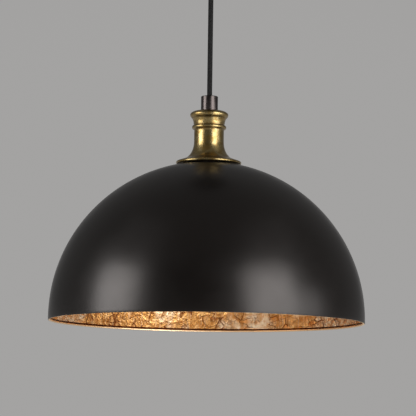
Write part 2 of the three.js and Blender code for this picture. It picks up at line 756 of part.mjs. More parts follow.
function buildShadeAndCap(lamp) {
  const cordBottom = nippleBottom;
  const cordPivot = CORD_SPAN + MOUTH_DEPTH;
  add(lamp, 'cord', hangingCord(cordBottom, cordPivot), cordCover);
  add(lamp, 'cord_grip', cordGrip(), bronze);
  const gripScrewLength = GRIP_DIAMETER / 2 - cordBore - GAP;
  const gripScrewShape = bar(SET_SCREW_DIAMETER / 2, 0, gripScrewLength, SMALL_SEGMENTS);
  const gripScrew = add(lamp, 'grip_screw', gripScrewShape, bronze);
  gripScrew.rotation.x = -Math.PI / 2;
  gripScrew.position.set(0, cordBore, -GRIP_SCREW_DEPTH);
  const nippleRadius = NIPPLE_DIAMETER / 2;
  add(lamp, 'nipple', ring(cordBore, nippleRadius, nippleBottom, nippleTop, MEDIUM_SEGMENTS), steel);
  const nippleNutShape = nut(NIPPLE_NUT_WIDTH, nippleRadius + GAP, NUT_HEIGHT);
  const nippleNut = add(lamp, 'nipple_nut', nippleNutShape, steel);
  nippleNut.position.z = nippleNutBottom;
  add(lamp, 'brass_cap', brassCap(), brass);
  add(lamp, 'shade', shade(), darkPaint);
  add(lamp, 'leaf_lining', leafLining(), leaf);
  const skirt = SKIRT_RADIUS + GAP;
  const washerTop = washerBottom + WASHER_THICKNESS;
  const washer = ring(skirt, skirt + WASHER_WIDTH, washerBottom, washerTop, CAP_SEGMENTS);
  add(lamp, 'shade_washer', washer, fibre);
  add(lamp, 'shade_ring', ring(skirt, ringOuter, ringBottom, ringTop, CAP_SEGMENTS), blackPlastic);
}

// ---------------------------------------------------------------------------
// Lampholder
// ---------------------------------------------------------------------------

function holderCap() {
  const inner = holderRadius - HOLDER_CAP_WALL;
  const bottom = holderBodyTop + GAP;
  const plate = holderCapTop - HOLDER_CAP_WALL;
  const hole = NIPPLE_DIAMETER / 2 + GAP;
  const outline = outlineOf([
    [hole, holderCapTop],
    [holderRadius - HOLDER_CAP_WALL, holderCapTop],
    [holderRadius, plate],
    [holderRadius, bottom],
    [inner, bottom],
    [inner, plate],
    [hole, plate],
  ]);
  outline.closePath();
  const screwHole = drill(
    SMALL_SCREW_DIAMETER / 2 + GAP,
    'z',
    [0, TERMINAL_RADIUS, holderCapTop],
    4 * HOLDER_CAP_WALL,
  );
  return cut(turned(outline, MEDIUM_SEGMENTS), screwHole);
}

function holderBody() {
  const shoulder = SKIRT_RADIUS + SHOULDER_WIDTH;
  const mouthTop = skirtBottom + MOUTH_STEP;
  const outline = outlineOf([
    [holderBore, holderBodyTop],
    [holderRadius, holderBodyTop],
    [holderRadius, shoulderTop],
    [shoulder, shoulderTop],
    [shoulder, shoulderBottom],
    [SKIRT_RADIUS, shoulderBottom],
    [SKIRT_RADIUS, skirtBottom],
    [MOUTH_RADIUS, skirtBottom],
    [MOUTH_RADIUS, mouthTop],
    [holderBore, mouthTop + MOUTH_RADIUS - holderBore],
  ]);
  outline.closePath();
  return turned(outline, MEDIUM_SEGMENTS);
}

function contactBlock() {
  const block = bar(shellOuter, contactBlockBottom, holderBodyTop, MEDIUM_SEGMENTS);
  const tools = [-1, 1].map((side) => drill(
    SMALL_SCREW_DIAMETER / 2 + GAP,
    'z',
    [side * TERMINAL_RADIUS, 0, holderBodyTop],
    2 * CONTACT_BLOCK_HEIGHT - SMALL_SCREW_DIAMETER,
  ));
  return cut(block, ...tools);
}

// A spring strip that slopes down from its root to the bulb's tip and curls up past it
function centreContact() {
  const under = tongueTop - TONGUE_DROP;
  const shape = new THREE.Shape();
  shape.moveTo(-TONGUE_ROOT, tongueTop);
  shape.quadraticCurveTo(-TONGUE_ROOT / 2, under, 0, under);
  shape.lineTo(TONGUE_TIP, under + TONGUE_THICKNESS);
  shape.lineTo(TONGUE_TIP, under);
  shape.lineTo(0, under - TONGUE_THICKNESS);
  shape.quadraticCurveTo(
    -TONGUE_ROOT / 2,
    under - TONGUE_THICKNESS,
    -TONGUE_ROOT,
    tongueTop - TONGUE_THICKNESS,
  );
  shape.closePath();
  const strip = new THREE.ExtrudeGeometry(shape, {
    depth: TONGUE_WIDTH,
    bevelEnabled: false,
    curveSegments: 6,
  });
  strip.rotateX(Math.PI / 2);
  strip.translate(0, TONGUE_WIDTH / 2, 0);
  return outward(strip);
}

function buildLampholder(lamp) {
  add(lamp, 'holder_cap', holderCap(), contactBrass);
  add(lamp, 'holder_body', holderBody(), blackPlastic);
  add(lamp, 'contact_block', contactBlock(), ceramic);
  const shellTop = contactBlockBottom - GAP;
  const shell = ring(shellInner, shellOuter, shellTop - SHELL_LENGTH, shellTop, MEDIUM_SEGMENTS);
  add(lamp, 'screw_shell', shell, contactBrass);
  add(lamp, 'centre_contact', centreContact(), contactBrass);

  const head = (SMALL_SCREW_DIAMETER * HEAD_SPREAD) / 2;
  const start = nippleBottom - GAP;
  const clampHeight = holderBodyTop + GAP + coreRadius;
  for (const [side, name, cover] of [[1, 'live', liveCover], [-1, 'neutral', neutralCover]]) {
    const shape = screw(SMALL_SCREW_DIAMETER, CONTACT_BLOCK_HEIGHT - SMALL_SCREW_DIAMETER);
    const clamp = add(lamp, `${name}_screw`, shape, contactBrass);
    clamp.rotation.x = Math.PI;
    clamp.position.set(side * TERMINAL_RADIUS, 0, holderBodyTop + GAP);
    const core = tube([
      [side * coreOffset, 0, start],
      [side * coreOffset, 0, start - coreRadius],
      [side * (coreOffset + 1.5), 0, (start + clampHeight) / 2 - 1],
      [side * (TERMINAL_RADIUS - head - GAP), 0, clampHeight + GAP],
    ], coreRadius, CORE_SIDES, 12);
    add(lamp, `${name}_core`, core, cover);
  }
  const underPlate = holderCapTop - HOLDER_CAP_WALL - GAP;
  const earthScrewShape = screw(SMALL_SCREW_DIAMETER, 2 * HOLDER_CAP_WALL);
  const earthScrew = add(lamp, 'holder_earth_screw', earthScrewShape, contactBrass);
  earthScrew.position.set(0, TERMINAL_RADIUS, underPlate);
  const earthEnd = underPlate - SMALL_SCREW_DIAMETER * HEAD_RISE - GAP;
  const earthCore = tube([
    [0, coreOffset, start],
    [0, coreOffset, start - coreRadius],
    [0, TERMINAL_RADIUS / 2, start - 4],
    [0, TERMINAL_RADIUS, start - 2],
    [0, TERMINAL_RADIUS, earthEnd],
  ], coreRadius, CORE_SIDES, 14);
  add(lamp, 'earth_core', earthCore, earthCover);
}

// ---------------------------------------------------------------------------
// Bulb: its own heights are from the lower edge of its metal base
// ---------------------------------------------------------------------------

// The glass is open at the neck, where the stem is sealed in
function bulbGlass() {
  const neck = BULB_BASE_RADIUS - BULB_BASE_WALL - GAP;
  const centre = BULB_RADIUS - BULB_LENGTH;
  const touchAngle = Math.PI / 6;
  const outline = new THREE.Path();
  outline.moveTo(neck - GLASS_WALL, GLASS_IN_BASE);
  outline.lineTo(neck, GLASS_IN_BASE);
  outline.lineTo(neck, -GAP);
  outlineToSphere(outline, neck, 0, centre, BULB_RADIUS, touchAngle);
  outline.absarc(0, centre, BULB_RADIUS, touchAngle, -Math.PI / 2, true);
  outline.absarc(0, centre, BULB_RADIUS - GLASS_WALL, -Math.PI / 2, touchAngle, false);
  outlineFromSphere(outline, neck - GLASS_WALL, 0, centre, BULB_RADIUS - GLASS_WALL, touchAngle);
  outline.closePath();
  return turned(outline, MEDIUM_SEGMENTS, 4);
}

// Control points of the curve between the bulb's neck and its round end
function neckControls(neck, top, centre, radius, angle) {
  const reach = radius / 2;
  const touch = [radius * Math.cos(angle), centre + radius * Math.sin(angle)];
  return {
    touch,
    high: [neck, top - BULB_NECK_DROP - reach / 2],
    low: [touch[0] - reach * Math.sin(angle), touch[1] + reach * Math.cos(angle)],
  };
}

function outlineToSphere(outline, neck, top, centre, radius, angle) {
  const { touch, high, low } = neckControls(neck, top, centre, radius, angle);
  outline.bezierCurveTo(...high, ...low, ...touch);
}

function outlineFromSphere(outline, neck, top, centre, radius, angle) {
  const { high, low } = neckControls(neck, top, centre, radius, angle);
  outline.bezierCurveTo(...low, ...high, neck, top);
}

function bulbBase() {
  const inner = BULB_BASE_RADIUS - BULB_BASE_WALL;
  return ring(inner, BULB_BASE_RADIUS, 0, BULB_BASE_LENGTH, MEDIUM_SEGMENTS);
}

function bulbInsulator() {
  const bottom = BULB_BASE_LENGTH + GAP;
  const outline = outlineOf([
    [0, bottom],
    [BULB_BASE_RADIUS - BULB_BASE_WALL, bottom],
    [BULB_CONTACT_RADIUS + GAP, BULB_BASE_LENGTH + BULB_TAPER - GAP],
    [0, BULB_BASE_LENGTH + BULB_TAPER - GAP],
  ]);
  return turned(outline, MEDIUM_SEGMENTS);
}

function bulbContact() {
  const bottom = BULB_BASE_LENGTH + BULB_TAPER;
  const top = bottom + BULB_CONTACT_HEIGHT;
  const outline = new THREE.Path();
  outline.moveTo(0, bottom);
  outline.lineTo(BULB_CONTACT_RADIUS, bottom);
  outline.quadraticCurveTo(BULB_CONTACT_RADIUS, top, 0, top);
  return turned(outline, SMALL_SEGMENTS, 4);
}

// The stem flares at the neck, just inside the glass, and carries the filament
function bulbStem() {
  const flare = BULB_BASE_RADIUS - BULB_BASE_WALL - GLASS_WALL - 2 * GAP;
  const outline = new THREE.Path();
  outline.moveTo(0, GLASS_IN_BASE);
  outline.lineTo(flare, GLASS_IN_BASE);
  outline.quadraticCurveTo(STEM_RADIUS, GLASS_IN_BASE - 1, STEM_RADIUS, -GLASS_IN_BASE);
  outline.lineTo(STEM_RADIUS, -STEM_LENGTH);
  outline.lineTo(0, -STEM_LENGTH);
  return turned(outline, SMALL_SEGMENTS, 4);
}

// One wire: out from the stem, up and down in four bays, and back to the stem
function bulbFilament() {
  const bays = 4;
  const low = -STEM_LENGTH - 8;
  const high = -STEM_LENGTH / 3;
  const seat = STEM_RADIUS + FILAMENT_DIAMETER / 2 + GAP;
  const first = -Math.PI / 2;
  const stepAngle = (1.6 * Math.PI) / (2 * bays - 1);
  const at = (angle, radius, z) => [radius * Math.cos(angle), radius * Math.sin(angle), z];
  const points = [at(first, seat, high), at(first, FILAMENT_RADIUS, high)];
  for (let i = 1; i < 2 * bays; i++) {
    points.push(at(first + i * stepAngle, FILAMENT_RADIUS, i % 2 ? low : high));
  }
  const last = first + (2 * bays) * stepAngle;
  points.push(at(last, FILAMENT_RADIUS, high), at(last, seat, high));
  return tube(points, FILAMENT_DIAMETER / 2, CORE_SIDES, 48);
}

function buildBulb(bulb) {
  add(bulb, 'bulb_contact', bulbContact(), steel);
  add(bulb, 'bulb_insulator', bulbInsulator(), blackPlastic);
  add(bulb, 'bulb_base', bulbBase(), steel);
  add(bulb, 'bulb_glass', bulbGlass(), clearGlass);
  add(bulb, 'bulb_stem', bulbStem(), clearGlass);
  add(bulb, 'bulb_filament', bulbFilament(), filamentWire);
}

// ---------------------------------------------------------------------------
// The whole light
// ---------------------------------------------------------------------------

const light = new THREE.Group();

const ceilingFitting = new THREE.Group();
buildCeilingFitting(ceilingFitting);
light.add(ceilingFitting);

const stubBottom = swingPivot + cordRadius + GAP;
add(light, 'cord_stub', straightCord(stubBottom, cordTop), cordCover);

const lamp = new THREE.Group();
lamp.position.z = outletMouth - CORD_SPAN;
buildShadeAndCap(lamp);
buildLampholder(lamp);
light.add(lamp);

const bulb = new THREE.Group();
bulb.position.z = bulbBaseBottom;
buildBulb(bulb);
lamp.add(bulb);

export default light;
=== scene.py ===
"""The looks of a pendant ceiling light: a satin dark shade leafed with metal inside, under an
antique brass cap, on a round cord from a ceiling canopy. Metres, +Z up, in the model's own frame."""

import itertools
import json
import math

import bmesh
import bpy
from mathutils import Matrix, Vector, noise


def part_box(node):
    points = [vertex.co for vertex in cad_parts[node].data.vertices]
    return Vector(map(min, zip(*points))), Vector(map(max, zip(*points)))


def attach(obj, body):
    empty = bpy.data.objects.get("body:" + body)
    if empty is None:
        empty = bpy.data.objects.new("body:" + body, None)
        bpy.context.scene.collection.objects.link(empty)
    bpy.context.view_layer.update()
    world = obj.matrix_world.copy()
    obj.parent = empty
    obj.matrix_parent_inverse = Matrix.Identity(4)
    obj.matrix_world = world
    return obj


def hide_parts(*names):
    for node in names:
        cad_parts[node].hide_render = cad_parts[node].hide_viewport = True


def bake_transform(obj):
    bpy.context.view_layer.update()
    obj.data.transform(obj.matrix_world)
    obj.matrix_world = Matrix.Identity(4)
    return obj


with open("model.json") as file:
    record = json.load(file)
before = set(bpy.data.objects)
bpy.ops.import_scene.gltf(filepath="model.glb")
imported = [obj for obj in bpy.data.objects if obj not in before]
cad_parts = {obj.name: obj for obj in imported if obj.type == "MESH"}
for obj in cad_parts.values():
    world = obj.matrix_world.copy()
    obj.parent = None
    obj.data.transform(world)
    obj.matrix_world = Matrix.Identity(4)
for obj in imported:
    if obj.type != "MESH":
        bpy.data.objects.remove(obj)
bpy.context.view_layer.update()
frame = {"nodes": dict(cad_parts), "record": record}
bpy.context.scene.view_settings.view_transform = "Standard"

MM = 0.001
GAP = 0.3 * MM


def low(node):
    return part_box(node)[0]


def high(node):
    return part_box(node)[1]


def middle(node):
    return (low(node) + high(node)) / 2


def heights(node):
    """The heights of a node's top and bottom."""
    return high(node).z, low(node).z


def add_object(name, data):
    made = bpy.data.objects.new(name, data)
    bpy.context.scene.collection.objects.link(made)
    return made


# Lengths that the pieces share
SHADE_SKIRT = 4 * MM  # straight wall under the hemisphere
HEM_HEIGHT = 2.8 * MM
OUTLET_CONE = 7 * MM  # from the outlet's mouth up to the pivot of the swing
SHANK_RADIUS = 5 * MM  # of the outlet and the nipple, where they pass through plates
SCREW_HOLE = 1.8 * MM  # radius, round the small screws
TERMINAL_RADIUS = 9.5 * MM  # from the lamp's axis to the screws that clamp its wires
CORE_RADIUS = 1 * MM
CORE_OFFSET = 1.75 * MM  # from the cord's axis to that of each of its wires
BRACKET_THICKNESS = 2 * MM

# Heights and radii that the pieces share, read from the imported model
RIM = low("shade").z
SHADE_RADIUS = high("shade").x
SHADE_CENTRE = RIM + SHADE_SKIRT
CAP_TOP = high("brass_cap").z
GRIP_TOP = high("cord_grip").z
OUTLET_MOUTH = low("cord_outlet").z
SWING_PIVOT = OUTLET_MOUTH + OUTLET_CONE
CORD_RADIUS = high("cord").y
CORD_TOP = high("cord_stub").z
CANOPY_BOTTOM = low("canopy").z


# --- Camera ---

CAMERA_DISTANCE = 2.8
CAMERA_BELOW_RIM = 0.1786
CAMERA_PITCH = math.radians(6.61)
CAMERA_ROLL = math.radians(0.8)
CAMERA_LENS = 191.8


def make_camera():
    data = bpy.data.cameras.new("camera")
    data.lens = CAMERA_LENS
    data.sensor_width = 36
    camera = add_object("camera", data)
    place = Matrix.Translation((0, -CAMERA_DISTANCE, RIM - CAMERA_BELOW_RIM))
    aim = Matrix.Rotation(math.pi / 2 + CAMERA_PITCH, 4, "X")
    camera.matrix_world = place @ aim @ Matrix.Rotation(CAMERA_ROLL, 4, "Z")
    bpy.context.scene.camera = camera


make_camera()


# --- Meshes ---


def make_object(name, vertices, faces, uvs=None, sharp_angle=35):
    """A smooth-shaded mesh object whose edges stay sharp above an angle in degrees."""
    mesh = bpy.data.meshes.new(name)
    mesh.from_pydata(vertices, [], faces)
    if uvs:
        layer = mesh.uv_layers.new(name="surface")
        layer.data.foreach_set("uv", list(itertools.chain(*uvs)))
    work = bmesh.new()
    work.from_mesh(mesh)
    bmesh.ops.remove_doubles(work, verts=work.verts, dist=1e-7)
    bmesh.ops.recalc_face_normals(work, faces=work.faces)
    work.to_mesh(mesh)
    work.free()
    shade_smooth(mesh, sharp_angle)
    return add_object(name, mesh)


def shade_smooth(mesh, sharp_angle):
    mesh.polygons.foreach_set("use_smooth", [True] * len(mesh.polygons))
    mesh.set_sharp_from_angle(angle=math.radians(sharp_angle))
    mesh.update()


def bake(piece, sharp_angle=35):
    """Applies a piece's modifiers to its mesh."""
    bpy.context.view_layer.update()
    final = piece.evaluated_get(bpy.context.evaluated_depsgraph_get())
    piece.data = bpy.data.meshes.new_from_object(final)
    piece.modifiers.clear()
    shade_smooth(piece.data, sharp_angle)


def carve(piece, *cutters):
    """Cuts other objects out of a piece, and removes them."""
    for cutter in cutters:
        cut = piece.modifiers.new("cut", "BOOLEAN")
        cut.operation = "DIFFERENCE"
        cut.solver = "EXACT"
        cut.object = cutter
    bake(piece)
    for cutter in cutters:
        bpy.data.objects.remove(cutter)


def block(low_corner, high_corner):
    """A plain box, to cut with."""
    vertices = list(itertools.product(*zip(low_corner, high_corner)))
    faces = [(0, 1, 3, 2), (4, 6, 7, 5), (0, 4, 5, 1), (2, 3, 7, 6), (0, 2, 6, 4), (1, 5, 7, 3)]
    return make_object("cutter", vertices, faces)


def rod(start, end, radius):
    """A plain round bar, to cut with."""
    return tube("cutter", [Vector(start), Vector(end)], radius, 32)


def bevelled(name, node, width):
    """Stands for a CAD node with a copy of its mesh, whose edges are rounded off."""
    mesh = frame["nodes"][node].data.copy()
    work = bmesh.new()
    work.from_mesh(mesh)
    bmesh.ops.remove_doubles(work, verts=work.verts, dist=2e-6)
    bmesh.ops.dissolve_limit(work, angle_limit=math.radians(1), verts=work.verts, edges=work.edges)
    work.to_mesh(mesh)
    work.free()
    mesh.materials.clear()
    piece = add_object(name, mesh)
    edges = piece.modifiers.new("edges", "BEVEL")
    edges.width = width
    edges.segments = 2
    edges.limit_method = "ANGLE"
    edges.angle_limit = math.radians(40)
    bake(piece, 40)
    settle(piece, node)


def line(start, end, steps):
    """Points from start to end, without the start."""
    return curve(start, end, steps=steps)


def arc(centre, radii, first, last, steps):
    """Points on an ellipse round a centre, from one angle in radians to another."""
    angles = [first + (last - first) * i / steps for i in range(steps + 1)]
    return [(centre[0] + radii[0] * math.cos(a), centre[1] + radii[1] * math.sin(a)) for a in angles]


def curve(*controls, steps):
    """Points on the Bezier curve of two or more control points, without its start."""
    points = []
    for i in range(1, steps + 1):
        row = controls
        while len(row) > 1:
            row = [tuple(p + (q - p) * i / steps for p, q in zip(a, b)) for a, b in zip(row, row[1:])]
        points += row
    return points


def rounded(corners, radius):
    """A closed outline with its corners rounded, except those on the axis, and a loop on both sides
    of each. The radius is cut down where the loops of two corners would cross."""
    outline = []
    for i, corner in enumerate(corners):
        if corner[0] == 0:
            outline.append(corner)
            continue
        sides = corners[i - 1], corners[(i + 1) % len(corners)]
        lengths = [math.dist(corner, other) for other in sides]
        r = min(radius, 0.28 * min(lengths))
        loops = []
        for other, length in zip(sides, lengths):
            for reach in (1.6 * r, r):
                loops.append(tuple(p + (q - p) * reach / length for p, q in zip(corner, other)))
        outline += loops[:2]
        outline += curve(loops[1], corner, loops[3], steps=4)
        outline.append(loops[2])
    return outline


def divided(outline, step):
    """A closed outline with its long lines divided."""
    points = []
    for a, b in zip(outline, outline[1:] + outline[:1]):
        points += [a] + line(a, b, max(1, round(math.dist(a, b) / step)))[:-1]
    return points


def thread(pitch, depth, radius, bottom, top, wall=None):
    """A shift for turned() that sinks a right-hand thread into a surface. A rolled thread is a round
    wave in both sides of a thin wall, and a cut one is a V."""

    def shift(angle, r, z, along):
        if abs(r - radius) > (wall or 0.01 * MM) or not bottom < z < top:
            return r, z
        fade = min(1, (z - bottom) / pitch, (top - z) / pitch)
        phase = z / pitch - angle / (2 * math.pi)
        wave = 0.5 - 0.5 * math.cos(2 * math.pi * phase) if wall else abs(phase % 1 * 2 - 1)
        return r - depth * fade * wave, z

    return shift


def distances(points):
    """How far along its path each point is."""
    return list(itertools.accumulate(map(math.dist, points, points[1:]), initial=0.0))


def wrapped(vertices, columns, along):
    """Quads over rows of vertices that close on themselves, and their corners' UVs: the way round,
    from 0 to 1, and the distance along. One distance more than rows joins the last to the first."""
    faces, uvs = [], []
    for i in range(len(along) - 1):
        below, above = i * columns, (i + 1) * columns % len(vertices)
        for j in range(columns):
            k = (j + 1) % columns
            faces.append((below + j, below + k, above + k, above + j))
            for step, row in ((0, i), (1, i), (1, i + 1), (0, i + 1)):
                uvs.append(((j + step) / columns, along[row]))
    return faces, uvs


def turned(name, outline, segments, shift=None, sharp_angle=35):
    """A body of revolution about Z from a closed outline of (distance from the axis, height).
    shift(angle, radius, height, along) gives a point's own radius and height. The UV map holds the
    way round, from 0 to 1, and the distance along the outline, in metres."""
    along = distances(outline + outline[:1])
    vertices = []
    for i, (radius, height) in enumerate(outline):
        for j in range(segments):
            angle = 2 * math.pi * j / segments
            r, z = shift(angle, radius, height, along[i]) if shift else (radius, height)
            vertices.append((r * math.cos(angle), r * math.sin(angle), z))
    faces, uvs = wrapped(vertices, segments, along)
    return make_object(name, vertices, faces, uvs, sharp_angle)


def smooth_path(points, steps):
    """Points along a smooth curve, without loops or overshoot, through the given ones."""
    places = [2 * points[0] - points[1], *points, 2 * points[-1] - points[-2]]
    path = []
    for a, b, c, d in zip(places, places[1:], places[2:], places[3:]):
        tb = math.sqrt((b - a).length)
        tc = tb + math.sqrt((c - b).length)
        td = tc + math.sqrt((d - c).length)
        for i in range(steps):
            t = tb + (tc - tb) * i / steps
            p = a.lerp(b, t / tb)
            q = b.lerp(c, (t - tb) / (tc - tb))
            r = c.lerp(d, (t - tc) / (td - tc))
            path.append(p.lerp(q, t / tc).lerp(q.lerp(r, (t - tb) / (td - tb)), (t - tb) / (tc - tb)))
    path.append(places[-2])
    return path


def tube(name, path, radius, sides):
    """A round tube along a path, closed at its ends. Its UV map is like that of turned()."""
    side = (path[1] - path[0]).normalized().orthogonal().normalized()
    vertices = []
    for i, place in enumerate(path):
        before, after = path[max(i - 1, 0)], path[min(i + 1, len(path) - 1)]
        ahead = (after - before).normalized()
        side = (side - ahead * side.dot(ahead)).normalized()
        across = ahead.cross(side)
        for j in range(sides):
            angle = 2 * math.pi * j / sides
            vertices.append(place + radius * (side * math.cos(angle) + across * math.sin(angle)))
    faces, uvs = wrapped(vertices, sides, distances(path))
    last = len(vertices) - sides
    faces += [tuple(reversed(range(sides))), tuple(range(last, last + sides))]
    uvs += [(0, 0)] * 2 * sides
    return make_object(name, vertices, faces, uvs)


SLOTS = {part["node"]: part["material_slot"] for part in frame["record"]["subparts"]}
BODIES = {node: body for body, nodes in frame["record"]["behaviour"]["bodies"].items() for node in nodes}


def settle(piece, node):
    """Gives a piece the finish and the body of the CAD node that it stands for."""
    piece.data.materials.append(FINISHES[SLOTS[node]])
    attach(piece, BODIES[node])
    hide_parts(node)


# --- Materials ---


class Graph:
    """Adds nodes to the tree of a material or world by a few calls. Lengths are in metres."""

    def __init__(self, owner):
        owner.use_nodes = True
        self.nodes = owner.node_tree.nodes
        self.links = owner.node_tree.links
        self.place = self.nodes.new("ShaderNodeTexCoord").outputs

    def connect(self, node, values):
        for socket, value in values.items():
            if isinstance(value, bpy.types.NodeSocket):
                self.links.new(value, node.inputs[socket])
            else:
                node.inputs[socket].default_value = value

    def noise(self, size, detail=3, roughness=0.55, vector=None, distortion=0.0):
        made = self.nodes.new("ShaderNodeTexNoise")
        here = vector or self.place["Object"]
        self.connect(made, {"Vector": here, "Scale": 1 / size, "Detail": detail})
        self.connect(made, {"Roughness": roughness, "Distortion": distortion})
        return made.outputs["Fac"]

    def streaks(self, around, along, detail, roughness):
        """A noise stretched over the UV map: around counts per turn, and along counts per metre."""
        mapping = self.nodes.new("ShaderNodeMapping")
        self.connect(mapping, {"Vector": self.place["UV"], "Scale": (around, along, 1)})
        return self.noise(1.0, detail, roughness, vector=mapping.outputs["Vector"])

    def warped(self, amount, size):
        """The object's own place, pushed about by a noise, as a share of its size."""
        push = self.nodes.new("ShaderNodeTexNoise")
        self.connect(push, {"Vector": self.place["Object"], "Scale": 1 / size, "Detail": 2})
        added = self.nodes.new("ShaderNodeVectorMath")
        added.operation = "MULTIPLY_ADD"
        reach = amount * size
        self.connect(added, {0: push.outputs["Color"], 1: (reach, reach, reach), 2: self.place["Object"]})
        return added.outputs["Vector"]

    def cells(self, size, feature="F1", output="Distance", vector=None):
        made = self.nodes.new("ShaderNodeTexVoronoi")
        made.feature = feature
        self.connect(made, {"Vector": vector or self.place["Object"], "Scale": 1 / size})
        return made.outputs[output]

    def range(self, value, low_in, high_in, low_out=0.0, high_out=1.0, smooth=False):
        made = self.nodes.new("ShaderNodeMapRange")
        made.interpolation_type = "SMOOTHSTEP" if smooth else "LINEAR"
        self.connect(made, {"Value": value, "From Min": low_in, "From Max": high_in})
        self.connect(made, {"To Min": low_out, "To Max": high_out})
        return made.outputs["Result"]

    def fade(self, *values):
        """A range that eases in and out."""
        return self.range(*values, smooth=True)

    def math(self, operation, first, second=0.0):
        made = self.nodes.new("ShaderNodeMath")
        made.operation = operation
        self.connect(made, {0: first, 1: second})
        return made.outputs["Value"]

    def times(self, first, second):
        return self.math("MULTIPLY", first, second)

    def wave(self, *terms):
        """A sine of the sum of some values, each given with how many waves it has to one."""
        phase = 0.0
        for value, waves in terms:
            phase = self.math("ADD", phase, self.times(value, 2 * math.pi * waves))
        return self.math("SINE", phase)

    def mix(self, factor, *colors):
        """A colour between two, each of which is (red, green, blue) or a socket."""
        made = self.nodes.new("ShaderNodeMix")
        made.data_type = "RGBA"
        first, second = ((*color, 1) if isinstance(color, tuple) else color for color in colors)
        sockets = [i for i, socket in enumerate(made.inputs) if socket.enabled]
        self.connect(made, dict(zip(sockets, (factor, first, second))))
        return next(socket for socket in made.outputs if socket.enabled)

    def split(self, vector):
        made = self.nodes.new("ShaderNodeSeparateXYZ")
        self.connect(made, {"Vector": vector})
        return made.outputs


class Finish(Graph):
    """A material of one shader, whose constant settings are given by name."""

    def __init__(self, name, **settings):
        self.material = bpy.data.materials.new(name)
        super().__init__(self.material)
        self.shader = self.nodes["Principled BSDF"]
        for socket, value in settings.items():
            self.shader.inputs[socket.replace("_", " ")].default_value = value

    def color(self, factor, first, second):
        mixed = self.mix(factor, first, second)
        self.links.new(mixed, self.shader.inputs["Base Color"])
        return mixed

    def rough(self, value, low_out, high_out):
        self.links.new(self.range(value, 0.3, 0.7, low_out, high_out), self.shader.inputs["Roughness"])

    def bump(self, height, distance):
        """Raises the surface by height times distance; several calls add up."""
        made = self.nodes.new("ShaderNodeBump")
        self.connect(made, {"Height": height, "Distance": distance, "Strength": 1.0})
        before = self.shader.inputs["Normal"].links
        if before:
            self.links.new(before[0].from_socket, made.inputs["Normal"])
        self.links.new(made.outputs["Normal"], self.shader.inputs["Normal"])


def shade_paint():
    """Satin lacquer, with a faint orange peel and cloudy gloss."""
    made = Finish("shade_paint", Specular_IOR_Level=0.5, Specular_Tint=(1, 0.93, 0.90, 1))
    made.color(made.noise(60 * MM), (0.0030, 0.0021, 0.0017), (0.0044, 0.0032, 0.0026))
    made.rough(made.noise(25 * MM, 4), 0.29, 0.34)
    made.bump(made.noise(1.6 * MM, 2), 0.02 * MM)
    return made.material


LEAF_SHEETS = 25  # to a turn
LEAF_LEAN = 18  # sheets that a seam leans by, to a metre of the wall
LEAF_WAVES = ((0.2, 31, 7), (0.11, 83, -23))  # sway in sheets, waves to a metre and to a turn


def leaf_sheets(made, around, along):
    """How far across its sheet a place is, from 0 to 1, and a tone of each sheet's own."""
    edge = made.math("SUBTRACT", made.times(around, LEAF_SHEETS), made.times(along, LEAF_LEAN))
    for sway, to_metre, to_turn in LEAF_WAVES:
        edge = made.math("ADD", edge, made.times(made.wave((along, to_metre), (around, to_turn)), sway))
    tone = made.nodes.new("ShaderNodeTexWhiteNoise")
    tone.noise_dimensions = "1D"
    made.connect(tone, {"W": made.math("FLOOR", edge)})
    return made.math("FRACT", edge), tone.outputs["Value"]


def leaf_metal(made, around, sheet, blotch):
    """Copper and gold by sheets and wider zones, with pale streaks and red grains."""
    grain = made.noise(2.4 * MM, 5, 0.75)
    streak = made.streaks(420, 30, 3, 0.6)
    zone = made.math("SUBTRACT", made.noise(60 * MM, 2), made.times(made.wave((around, 9)), 0.09))
    copper = made.mix(made.fade(blotch, 0.35, 0.65), (0.55, 0.25, 0.065), (0.86, 0.50, 0.18))
    gold = made.mix(made.fade(blotch, 0.4, 0.6), (0.74, 0.48, 0.25), (0.98, 0.86, 0.66))
    share = made.math("ADD", made.fade(zone, 0.42, 0.58), sheet)
    color = made.mix(made.fade(share, 0.5, 1.5), copper, gold)
    color = made.mix(made.range(streak, 0.5, 0.75, 0.0, 0.4), color, (0.97, 0.86, 0.70))
    return made.mix(made.fade(grain, 0.56, 0.68, 0.0, 0.6), color, (0.62, 0.27, 0.06))


